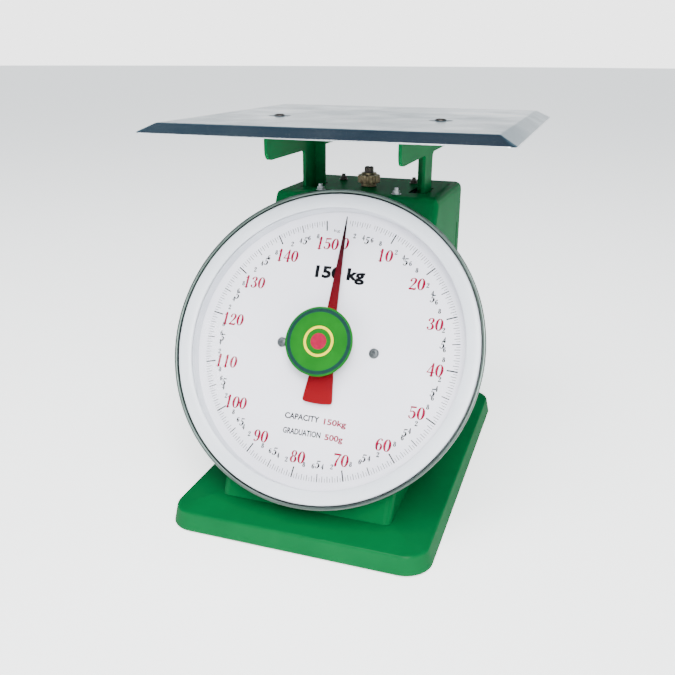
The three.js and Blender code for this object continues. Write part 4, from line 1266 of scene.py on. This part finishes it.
# Each figure is a few brush strokes in a box one unit high: x, y and half the stroke's width at each point.
FIGURES: dict[str, tuple[Stroke, ...]] = {
    "0": (ring_stroke(0.30, 0.5, 0.205, 0.475, 0.07),),
    "1": (((0.30, 0.99, 0.062), (0.30, 0.5, 0.062), (0.30, 0.0, 0.062)),
          ((0.12, 0.84, 0.022), (0.21, 0.88, 0.024), (0.30, 0.96, 0.026)),
          ((0.13, 0.018, 0.018), (0.47, 0.018, 0.018))),
    "2": (((0.11, 0.74, 0.055), (0.14, 0.88, 0.034), (0.28, 0.97, 0.022), (0.43, 0.89, 0.05),
           (0.465, 0.74, 0.066), (0.40, 0.55, 0.05), (0.25, 0.33, 0.03), (0.09, 0.10, 0.026)),
          ((0.08, 0.05, 0.05), (0.30, 0.05, 0.05), (0.50, 0.05, 0.05), (0.54, 0.20, 0.02))),
    "3": (((0.12, 0.80, 0.05), (0.17, 0.92, 0.03), (0.29, 0.97, 0.022), (0.41, 0.90, 0.05),
           (0.43, 0.76, 0.06), (0.36, 0.61, 0.036), (0.23, 0.53, 0.02)),
          ((0.23, 0.53, 0.02), (0.39, 0.47, 0.04), (0.47, 0.27, 0.07), (0.40, 0.09, 0.045),
           (0.26, 0.025, 0.022), (0.13, 0.07, 0.03), (0.10, 0.18, 0.05))),
    "4": (((0.40, 0.99, 0.05), (0.40, 0.5, 0.06), (0.40, 0.0, 0.06)),
          ((0.39, 0.97, 0.022), (0.22, 0.63, 0.022), (0.05, 0.29, 0.024)),
          ((0.04, 0.27, 0.028), (0.56, 0.27, 0.028)),
          ((0.27, 0.018, 0.018), (0.53, 0.018, 0.018))),
    "5": (((0.14, 0.93, 0.045), (0.30, 0.94, 0.045), (0.48, 0.95, 0.04)),
          ((0.145, 0.96, 0.02), (0.13, 0.74, 0.02), (0.115, 0.54, 0.022)),
          ((0.12, 0.54, 0.022), (0.28, 0.61, 0.03), (0.43, 0.51, 0.055), (0.475, 0.31, 0.072),
           (0.40, 0.10, 0.046), (0.25, 0.025, 0.022), (0.13, 0.07, 0.03), (0.09, 0.17, 0.046))),
    "6": (ring_stroke(0.31, 0.30, 0.175, 0.275, 0.06),
          ((0.46, 0.88, 0.045), (0.42, 0.955, 0.03), (0.32, 0.96, 0.022), (0.20, 0.84, 0.042),
           (0.13, 0.62, 0.062), (0.12, 0.40, 0.066), (0.14, 0.22, 0.05))),
    "7": (((0.08, 0.93, 0.05), (0.30, 0.93, 0.05), (0.52, 0.93, 0.05)),
          ((0.09, 0.95, 0.018), (0.065, 0.78, 0.018)),
          ((0.505, 0.93, 0.03), (0.39, 0.62, 0.036), (0.29, 0.32, 0.056), (0.265, 0.02, 0.066))),
    "8": (ring_stroke(0.30, 0.75, 0.15, 0.22, 0.05), ring_stroke(0.30, 0.27, 0.185, 0.25, 0.062)),
    "9": (ring_stroke(0.29, 0.70, 0.175, 0.275, 0.06),
          ((0.14, 0.12, 0.045), (0.18, 0.045, 0.03), (0.28, 0.04, 0.022), (0.40, 0.16, 0.042),
           (0.47, 0.38, 0.062), (0.48, 0.60, 0.066), (0.46, 0.78, 0.05))),
}
FIGURE_PITCH = 0.62  # from one figure to the next, in figure heights


def brushed(stroke: Stroke, steps: int = 5) -> list[tuple[Vector, float]]:
    """Smooths a stroke's points into a fine centre line with widths.

    Args:
        stroke: the points as drawn.
        steps: points for each stretch.

    Returns:
        Each point of the line with half its width.
    """
    fine = []
    last = len(stroke) - 1
    if last == 1:
        return [(Vector(p[:2]), p[2]) for p in stroke]
    closed = stroke[0][:2] == stroke[-1][:2]
    for i in range(last):
        before = stroke[i - 1] if i else (stroke[-2] if closed else stroke[0])
        after = stroke[i + 2] if i + 2 <= last else (stroke[1] if closed else stroke[last])
        for k in range(steps + (i == last - 1)):
            t = k / steps
            value = [0.5 * (2 * b + (c - a) * t + (2 * a - 5 * b + 4 * c - d) * t * t
                            + (3 * b - a - 3 * c + d) * t ** 3)
                     for a, b, c, d in zip(before, stroke[i], stroke[i + 1], after)]
            fine.append((Vector(value[:2]), value[2]))
    return fine


@dataclass
class InkSheet:
    """Collects printed shapes and makes them one thin raised film on the dial."""

    base: float = PROUD
    film: float = 0.05
    points: list[Vector] = field(default_factory=list)
    faces: list[list[int]] = field(default_factory=list)

    def block(self, outline: Sequence[Vector]) -> None:
        """Adds one convex patch of ink with its edges.

        Args:
            outline: the patch's corners, in order.
        """
        first, count = len(self.points), len(outline)
        self.points += [Vector((p.x, p.y, self.base + self.film)) for p in outline]
        self.points += [Vector((p.x, p.y, self.base)) for p in outline]
        self.faces.append([first + k for k in range(count)])
        self.faces.append([first + count + k for k in range(count)][::-1])
        for k in range(count):
            n = (k + 1) % count
            self.faces.append([first + k, first + count + k, first + count + n, first + n])

    def stroke(self, stroke: Stroke, put: Callable[[Vector], Vector], size: float, weight: float) -> None:
        """Adds a brush stroke as a band of patches, with round ends where it is heavy.

        Args:
            stroke: the points as drawn.
            put: places a drawn point on the face.
            size: the figure's height.
            weight: how heavy the stroke is against its drawing.
        """
        line = [(put(p), w * size * weight) for p, w in brushed(stroke)]
        sides = []
        for i, (here, half) in enumerate(line):
            ahead = line[min(i + 1, len(line) - 1)][0] - line[max(i - 1, 0)][0]
            across = Vector((-ahead.y, ahead.x)).normalized() * half
            sides.append((here + across, here - across))
        first = len(self.points)
        for left, right in sides:
            for height in (self.base + self.film, self.base):
                self.points += [Vector((left.x, left.y, height)), Vector((right.x, right.y, height))]
        for i in range(len(sides) - 1):
            a, b = first + 4 * i, first + 4 * i + 4
            self.faces += [[a, b, b + 1, a + 1], [a + 2, a + 3, b + 3, b + 2],
                           [a, a + 2, b + 2, b], [a + 1, b + 1, b + 3, a + 3]]
        end = first + 4 * (len(sides) - 1)
        self.faces += [[first, first + 1, first + 3, first + 2], [end, end + 2, end + 3, end + 1]]
        for tip, half in (line[0], line[-1]):
            if half > 0.04 * size:
                self.block([tip + Vector((math.cos(TAU * k / 12), math.sin(TAU * k / 12))) * half * 1.06
                            for k in range(12)])

    def figures(self, text: str, centre: Vector, height: float, slant: float = 0.0, width: float = 1.0,
                weight: float = 1.0) -> None:
        """Writes figures upright, centred on a point.

        Args:
            text: the digits.
            centre: the middle of the text on the face.
            height: how tall the digits are.
            slant: how far the tops lean right, as a share of the height.
            width: how wide the digits are against their drawing.
            weight: how heavy their strokes are against their drawing.
        """
        start = centre - Vector((len(text) * FIGURE_PITCH * width, 1.0)) * height / 2
        for i, digit in enumerate(text):
            def put(p: Vector, shift: float = i * FIGURE_PITCH) -> Vector:
                """Places a point of this digit on the face."""
                x = (shift + p.x) * width + slant * (p.y - 0.5)
                return start + Vector((x, p.y)) * height
            for stroke in FIGURES[digit]:
                self.stroke(stroke, put, height, weight)

    def piece(self, name: str, body: str, finish: Finish) -> Piece:
        """Makes the film's object.

        Args:
            name: the piece's name.
            body: the body that it rides on.
            finish: its ink.

        Returns:
            The finished piece.
        """
        mesh = bpy.data.meshes.new(name)
        mesh.from_pydata([DIAL @ p for p in self.points], [], self.faces)
        return hand_over(new_object(name, mesh), body, finish)


def lettering(name: str, text: str, height: float, centre: Point, finish: Finish, width: float,
              bold: float = 0.0) -> Piece:
    """Prints a line of plain generic lettering on the dial.

    Args:
        name: the piece's name.
        text: what it says.
        height: the capital's height.
        centre: the middle of the line on the face.
        finish: its ink.
        width: how long the line is.
        bold: how much each letter is thickened, as a share of the type's size.

    Returns:
        The printed piece.
    """
    curve = bpy.data.curves.new(name, "FONT")
    curve.body = text
    curve.size = 1.0
    curve.resolution_u = 3
    curve.offset = bold
    holder = new_object(name, curve)
    bpy.context.view_layer.update()
    graph = bpy.context.evaluated_depsgraph_get()
    mesh = bpy.data.meshes.new_from_object(holder.evaluated_get(graph))
    bpy.data.objects.remove(holder)
    xs = [v.co.x for v in mesh.vertices]
    ys = [v.co.y for v in mesh.vertices if v.co.y >= 0]
    wide, tall = max(xs) - min(xs), max(ys)
    fit = Matrix.Diagonal((width / wide, height / tall, 1.0, 1.0))
    shift = Matrix.Translation((centre[0], centre[1] - height / 2, PROUD))
    mesh.transform(DIAL @ shift @ fit @ Matrix.Translation((-min(xs) - wide / 2, 0, 0)))
    made = new_object(name, mesh)
    film = made.modifiers.new("film", "SOLIDIFY")
    film.thickness = 0.04 * MM
    film.offset = 1.0
    settle(made)
    return hand_over(made, "case", finish)


FIRST_ONLY = 1000  # more marks than a ring has, so that of all its marks only the first is left out


@dataclass
class DialPrint:
    """Everything printed on the face: marks, red tens, small black figures and the lines of lettering."""

    capacity: int = 150
    sweep: float = math.radians(350.2)
    mark_radius: float = 120.0
    tens_radius: float = 99.6
    tens_shift: Point = (0.9, -1.7)
    tens_height: float = 10.7
    units_radius: float = 106.3
    units_height: float = 4.3
    fives_radius: float = 104.6
    fives_height: float = 6.8
    # Each line: name, words, height of the capitals, middle, ink, length and how much it is thickened.
    lines: tuple[tuple[str, str, float, Point, Finish, float, float], ...] = (
        ("unit_mark", "kg", 2.6, (-9.0, 109.6), BLACK_INK, 6.0, 0.0),
        ("capacity_mark", "150 kg", 11.0, (0.5, 70.0), BLACK_INK, 48.0, 0.045),
        ("capacity_word", "CAPACITY", 5.2, (-13.0, -65.2), BLACK_INK, 33.0, 0.03),
        ("capacity_figure", "150kg", 5.2, (18.5, -65.8), RED_INK, 21.0, 0.03),
        ("graduation_word", "GRADUATION", 5.2, (-11.0, -78.6), BLACK_INK, 36.0, 0.03),
        ("graduation_figure", "500g", 5.2, (19.5, -79.2), RED_INK, 17.0, 0.03))

    def at(self, load: float, radius: float) -> Vector:
        """Where a load's mark lies at this radius, clockwise from the top."""
        turn = load / self.capacity * self.sweep
        return Vector((radius * math.sin(turn), radius * math.cos(turn)))

    def marks(self, name: str, count: int, first: float, step: float, skip: int, length: float,
              width: float) -> Piece:
        """Prints one ring of marks, `step` kilograms apart.

        Args:
            name: the piece's name.
            count: how many turns the ring has.
            first: the load at its first mark.
            step: the load from one mark to the next.
            skip: every which mark is left out, with the first.
            length: how long a mark is.
            width: how wide it is.

        Returns:
            The finished piece.
        """
        ring = loose_points(name, [])
        turn = self.sweep / self.capacity
        grow(ring, shared_tree("dial_marks", marks_tree), {
            "Count": count, "First turn": first * turn, "Step turn": step * turn,
            "Leave out every": skip, "Outer radius": self.mark_radius * MM, "Length": length * MM,
            "Width": width * MM, "Film": 0.05 * MM, "Base": (PROUD + 0.025) * MM,
            "Material": BLACK_INK.material()})
        ring.data.transform(DIAL @ Matrix.Scale(1 / MM, 4))
        return hand_over(ring, "case", BLACK_INK)

    def build(self) -> None:
        """Prints the whole face."""
        halves = 2 * self.capacity
        tens_count = self.capacity // 10
        self.marks("marks_half_kilogram", halves, 0.0, 0.5, skip=2, length=3.6, width=0.36)
        self.marks("marks_kilogram", self.capacity + 1, 0.0, 1.0, skip=5, length=5.2, width=0.52)
        self.marks("marks_five_kilograms", tens_count, 5.0, 10.0, FIRST_ONLY, length=7.2, width=0.85)
        self.marks("marks_ten_kilograms", tens_count + 1, 0.0, 10.0, FIRST_ONLY, length=9.8, width=1.2)
        tens, units = InkSheet(), InkSheet()
        for load in range(0, self.capacity + 1, 10):
            centre = self.at(load, self.tens_radius) + Vector(self.tens_shift)
            tens.figures(str(load), centre, self.tens_height, slant=0.07, width=1.1, weight=1.6)
        for load in range(self.capacity):
            if load % 10 in (2, 4, 6, 8):
                units.figures(str(load % 10), self.at(load, self.units_radius), self.units_height, weight=2.0)
            if load % 10 == 5:
                units.figures("5", self.at(load, self.fives_radius), self.fives_height, slant=0.22,
                              weight=1.7)
        tens.piece("figures_tens", "case", RED_INK)
        units.piece("figures_units", "case", BLACK_INK)
        for line in self.lines:
            lettering(*line)


@dataclass
class Pointer:
    """The stamped red pointer with its flared tail and its brass cap."""

    tip: float = 122.4
    tail: float = -52.0
    out: float = 4.0
    thickness: float = 1.0
    cap_radius: float = 6.0

    def needle(self) -> Piece:
        """Stamps the needle and marks its reach from tail to tip.

        Returns:
            The finished piece.
        """
        outline = rounded([
            (-0.35, self.tip), (-5.0, 28.0, 3.0), (-6.0, 6.0, 4.0), (-11.4, -26.0, 4.0), (-14.4, -50.5, 3.4),
            (0.0, self.tail, 12.0), (14.4, -50.5, 3.4), (11.4, -26.0, 4.0), (6.0, 6.0, 4.0), (5.0, 28.0, 3.0),
            (0.35, self.tip)], 6)
        piece = stamped("pointer_stamped", outline, self.out, self.out + self.thickness, DIAL)
        soften(piece, 0.18, 2)
        reach = piece.data.attributes.new("reach", "FLOAT", "POINT")
        back = DIAL.inverted()
        span = self.tip - self.tail
        for i, vertex in enumerate(piece.data.vertices):
            reach.data[i].value = ((back @ vertex.co).y - self.tail) / span
        return hand_over(piece, "pointer", POINTER_RED_AND_SHADE, ["pointer"])

    def cap(self) -> Piece:
        """Turns the cap that holds the needle on its shaft.

        Returns:
            The finished piece.
        """
        seat = self.out + self.thickness + 0.3
        r, front = self.cap_radius, seat + 5.2
        profile = rounded([(0.0, front), (r, front, 0.8), (r, seat), (2.4, seat), (2.4, front - 1.4),
                           (0.0, front - 1.4)], 4)
        return hand_over(soften(lathe("pointer_cap_turned", profile, DIAL, 48)), "pointer", BRASS,
                         ["pointer_cap"])

    def build(self) -> None:
        """Builds the needle and its cap."""
        self.needle()
        self.cap()


@dataclass
class Badge:
    """The round printed badge on the glass: plain rings round a red centre."""

    radius: float = 31.5
    thickness: float = 1.0

    def place(self) -> Matrix:
        """The badge's own frame: its middle on the dial, at the height of its back."""
        centre = DIAL.inverted() @ (middle("dial_badge") * MM)
        return DIAL @ Matrix.Translation((centre.x, centre.y, centre.z - self.thickness / 2))

    def ring(self, name: str, inner: float, outer: float, finish: Finish) -> Piece:
        """Prints a plain ring, or a spot where the inner radius is 0.

        Args:
            name: the piece's name.
            inner: its inner radius.
            outer: its outer radius.
            finish: its ink.

        Returns:
            The finished piece.
        """
        low, high = self.thickness + PROUD, self.thickness + PROUD + 0.04
        profile = [(inner, low), (outer, low), (outer, high), (inner, high)]
        return hand_over(soften(lathe(name, profile, self.place(), 96)), "case", finish)

    def build(self) -> None:
        """Builds the badge and its print."""
        r, t = self.radius, self.thickness
        profile = rounded([(0.0, 0.0), (r, 0.0), (r, t, 0.4), (0.0, t)], 4)
        hand_over(soften(lathe("dial_badge_stamped", profile, self.place(), 120)), "case", HUB_GREEN,
                  ["dial_badge"])
        self.ring("badge_ring_outer", 26.6, 29.8, HUB_DARK)
        self.ring("badge_ring_middle", 11.6, 14.0, HUB_GOLD)
        self.ring("badge_centre_spot", 0.0, 7.4, RED_INK)


@dataclass
class Platform:
    """The stainless platform pan, its two screws and the painted brackets under it."""

    bevel: float = 14.3
    corner_radius: float = 7.0
    sheet: float = 1.5

    def pan(self) -> Piece:
        """Builds the pan: a flat top, a turned-down bevel and a small hemmed lip.

        Returns:
            The finished piece.
        """
        low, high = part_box("platform_pan")
        top, lip = high.z / MM, low.z / MM
        outside = rounded([(60.0, top), (self.bevel, top, 1.5), (1.2, lip + 1.6, 0.5), (0.0, lip + 0.9, 0.4),
                           (0.0, lip, 0.35), (2.0, lip, 0.4), (2.2, lip + 1.2, 0.4),
                           (self.bevel + 0.6, top - self.sheet, 1.5), (60.0, top - self.sheet)], 5)[1:-1]
        shape = PanShape(high.x / MM, low.y / MM, high.y / MM, self.corner_radius, tuple(outside))
        return hand_over(soften(shape.build("platform_pan_pressed", 8)), "load_frame", STAINLESS,
                         ["platform_pan"])

    def screw(self, node: str) -> Piece:
        """Turns one low domed platform screw with a recess.

        Args:
            node: the CAD node that it stands for.

        Returns:
            The finished piece.
        """
        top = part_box(node)[1].z / MM
        profile = [(0.0, top - 14.0), (2.1, top - 14.0), (2.1, top - 1.5), (4.9, top - 1.5), (5.0, top - 1.3),
                   (4.7, top - 0.7), (3.8, top - 0.25), (2.4, top), (1.9, top - 0.1), (1.6, top - 0.9),
                   (0.0, top - 1.0)]
        return hand_over(soften(lathe(f"{node}_turned", profile, on_axis(node), 36)), "load_frame", DARK_STUD,
                         [node])

    def dish(self, node: str, hand: Hand) -> Piece:
        """Paints a darker ring on the sheet round the screw: a painted shade for the shallow dish that the
        screw has pulled in.

        Args:
            node: the screw that pulled it in.
            hand: its side of the scale.

        Returns:
            The finished piece.
        """
        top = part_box("platform_pan")[1].z / MM
        profile = [(5.1, top + 0.02), (10.6, top + 0.02), (10.2, top + 0.1), (5.4, top + 0.16)]
        ring = soften(lathe(f"platform_painted_dish_shade_{hand.value}", profile, on_axis(node), 48))
        return hand_over(ring, "load_frame", DISH_SHADE_SHEET)

    def bracket(self, hand: Hand) -> Piece:
        """Refines one folded bracket with soft painted edges."""
        node = f"bracket_{hand.value}"
        return hand_over(refined(f"{node}_folded", [node], 0.7), "load_frame", GREEN_ENAMEL, [node])

    def build(self) -> None:
        """Builds the platform and what holds it."""
        self.pan()
        for hand in Hand:
            self.screw(f"platform_screw_{hand.value}")
            self.dish(f"platform_screw_{hand.value}", hand)
            self.bracket(hand)


@dataclass
class Springs:
    """The two main springs as fine coils."""

    mean_radius: float = 14.0
    wire: float = 5.2
    turns: float = 14.0
    steps: int = 26
    round_steps: int = 10

    def coil(self, node: str) -> Piece:
        """Winds one spring where its CAD node is.

        Args:
            node: the CAD node that it stands for.

        Returns:
            The finished piece.
        """
        low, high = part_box(node)
        centre = middle(node)
        bottom, top = low.z / MM + self.wire / 2, high.z / MM - self.wire / 2
        points: list[Vector] = []
        total = int(self.turns * self.steps)
        for i in range(total + 1):
            angle = TAU * i / self.steps
            out = Vector((math.cos(angle), math.sin(angle), 0))
            core = Vector((centre.x, centre.y, bottom + (top - bottom) * i / total)) + out * self.mean_radius
            for k in range(self.round_steps):
                turn = TAU * k / self.round_steps
                points.append(core + (out * math.cos(turn) + Vector((0, 0, math.sin(turn)))) * self.wire / 2)
        n = self.round_steps
        faces = [[i * n + k, i * n + (k + 1) % n, (i + 1) * n + (k + 1) % n, (i + 1) * n + k]
                 for i in range(total) for k in range(n)]
        faces += [list(range(n)), [total * n + k for k in range(n)]]
        piece = soften(mesh_piece(f"{node}_wound", points, faces, UPRIGHT))
        piece.data.materials.clear()
        piece.data.materials.append(SPRING_STEEL.material())
        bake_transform(piece)
        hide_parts(node)
        log.info("%s stretches between case and load_frame", piece.name)
        return piece

    def build(self) -> None:
        """Winds both springs."""
        for hand in Hand:
            self.coil(f"main_spring_{hand.value}")


@dataclass
class Works:
    """The inner works that the frame already shapes: they get refined edges or their own finish."""

    folded: tuple[tuple[str, str], ...] = (("crossbar", "load_frame"), ("upper_strap", "load_frame"),
                                           ("rack_arm", "load_frame"), ("hanger_plate", "case"),
                                           ("rear_mast", "case"), ("spring_yoke", "spring_hanger"),
                                           ("stay_lower", "stay_lower"), ("stay_upper", "stay_upper"))
    brass: tuple[str, ...] = ("pinion", "rack", "rack_link", "rack_guide", "movement_front_plate",
                              "movement_rear_plate", "bush_front", "bush_rear")

    def build(self) -> None:
        """Refines the folded steel and dresses the rest where it is."""
        for node, body in self.folded:
            hand_over(refined(f"{node}_folded", [node], 0.4, 2), body, ZINC, [node])
        for name, node in frame["nodes"].items():
            if node.hide_render:
                continue
            finish = BRASS if name in self.brass else SPRING_STEEL if name == "pointer_shaft" else ZINC
            for i in range(max(len(node.material_slots), 1)):
                if not node.material_slots:
                    node.data.materials.append(finish.material())
                node.material_slots[i].material = finish.material()
            log.info("%s keeps its shape: %s", name, finish.name)


# ---- Studio ----
@dataclass(frozen=True)
class Softbox:
    """A square soft light: where it hangs and its width in metres, and its power in watts."""

    name: str
    at: tuple[float, float, float]
    size: float
    power: float


@dataclass
class Studio:
    """A pale floor, soft lights, a bright low horizon under a dark ceiling, and the camera."""

    lens: float = 41.106
    camera_at: tuple[float, float, float] = (0.21838, -0.69838, 0.40199)
    yaw: float = 18.78
    pitch: float = 20.15
    roll: float = -0.26
    floor_colour: str = "#F4F4F3"
    floor_glow: float = 1.5
    horizon: float = 3.3
    aim_height: float = 0.17
    softboxes: tuple[Softbox, ...] = (Softbox("key_softbox", (0.8, -1.9, 1.6), 1.2, 110.0),
                                      Softbox("top_softbox", (0.1, -0.9, 2.3), 1.6, 85.0),
                                      Softbox("fill_softbox", (-1.5, -1.6, 0.9), 1.0, 14.0))

    def camera(self) -> None:
        """Points the camera: yaw to the left, pitch down and a slight roll."""
        yaw, pitch, roll = (math.radians(a) for a in (self.yaw, self.pitch, self.roll))
        ahead = Vector((-math.sin(yaw) * math.cos(pitch), math.cos(yaw) * math.cos(pitch), -math.sin(pitch)))
        level = Vector((math.cos(yaw), math.sin(yaw), 0))
        up = level.cross(ahead)
        right = level * math.cos(roll) - up * math.sin(roll)
        above = up * math.cos(roll) + level * math.sin(roll)
        data = bpy.data.cameras.new("camera")
        data.lens = self.lens
        data.sensor_width = 36.0
        data.clip_start = 0.01
        seat = new_object("camera", data)
        turn = Matrix((right, above, -ahead)).transposed().to_4x4()
        seat.matrix_world = Matrix.Translation(self.camera_at) @ turn
        bpy.context.scene.camera = seat

    def floor(self) -> None:
        """Lays a wide round floor."""
        mesh = bpy.data.meshes.new("floor")
        work = bmesh.new()
        bmesh.ops.create_circle(work, cap_ends=True, radius=30.0, segments=96)
        work.to_mesh(mesh)
        work.free()
        floor = new_object("floor", mesh)
        ground = bpy.data.materials.new("matt_white_backdrop_paper")
        ground.use_nodes = True
        tree = ground.node_tree
        tree.nodes.clear()
        shader = add_node(tree, "ShaderNodeBsdfPrincipled",
                          {"Base Color": linear(self.floor_colour), "Roughness": 0.9,
                           "Specular IOR Level": 0.1, "Emission Color": linear(self.floor_colour),
                           "Emission Strength": self.floor_glow})
        add_node(tree, "ShaderNodeOutputMaterial", {"Surface": shader.outputs["BSDF"]})
        mesh.materials.append(ground)

    def sky(self) -> None:
        """Shades the surroundings by height: white low down, grey higher and dark overhead."""
        world = bpy.data.worlds.new("soft_room")
        bpy.context.scene.world = world
        world.use_nodes = True
        tree = world.node_tree
        tree.nodes.clear()
        coords = add_node(tree, "ShaderNodeTexCoord")
        split = add_node(tree, "ShaderNodeSeparateXYZ", {"Vector": coords.outputs["Generated"]})
        colour = ramp(tree, split.outputs["Z"],
                      [(0.0, "#FFFFFF"), (0.07, "#FFFFFF"), (0.15, "#5E6C74"), (0.46, "#54666F"),
                       (0.66, "#203846"), (0.86, "#0C1E2E")])
        glow = add_node(tree, "ShaderNodeBackground", {"Color": colour, "Strength": self.horizon})
        add_node(tree, "ShaderNodeOutputWorld", {"Surface": glow.outputs["Background"]})

    def light(self, box: Softbox) -> None:
        """Hangs one square softbox that faces the middle of the scale.

        Args:
            box: the softbox to hang.
        """
        data = bpy.data.lights.new(box.name, "AREA")
        data.shape = "SQUARE"
        data.size = box.size
        data.energy = box.power
        lamp = new_object(box.name, data)
        aim = Vector((0, 0, self.aim_height)) - Vector(box.at)
        lamp.matrix_world = Matrix.Translation(box.at) @ aim.to_track_quat("-Z", "Y").to_matrix().to_4x4()

    def build(self) -> None:
        """Sets up camera, floor, surroundings and lights."""
        self.camera()
        self.floor()
        self.sky()
        for box in self.softboxes:
            self.light(box)
        log.info("studio ready, lens %.1f mm", self.lens)


def main() -> None:
    """Builds every sub-assembly in order."""
    logging.basicConfig(level=logging.INFO, format="%(name)s: %(message)s")
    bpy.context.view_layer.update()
    Studio().build()
    for assembly in (Base(), Housing(), ZeroAdjuster(), DialCase(), DialPrint(), Pointer(), Badge(),
                     Platform(), Springs(), Works()):
        assembly.build()
        log.info("%s done", type(assembly).__name__)


if __name__ == "__main__":
    main()
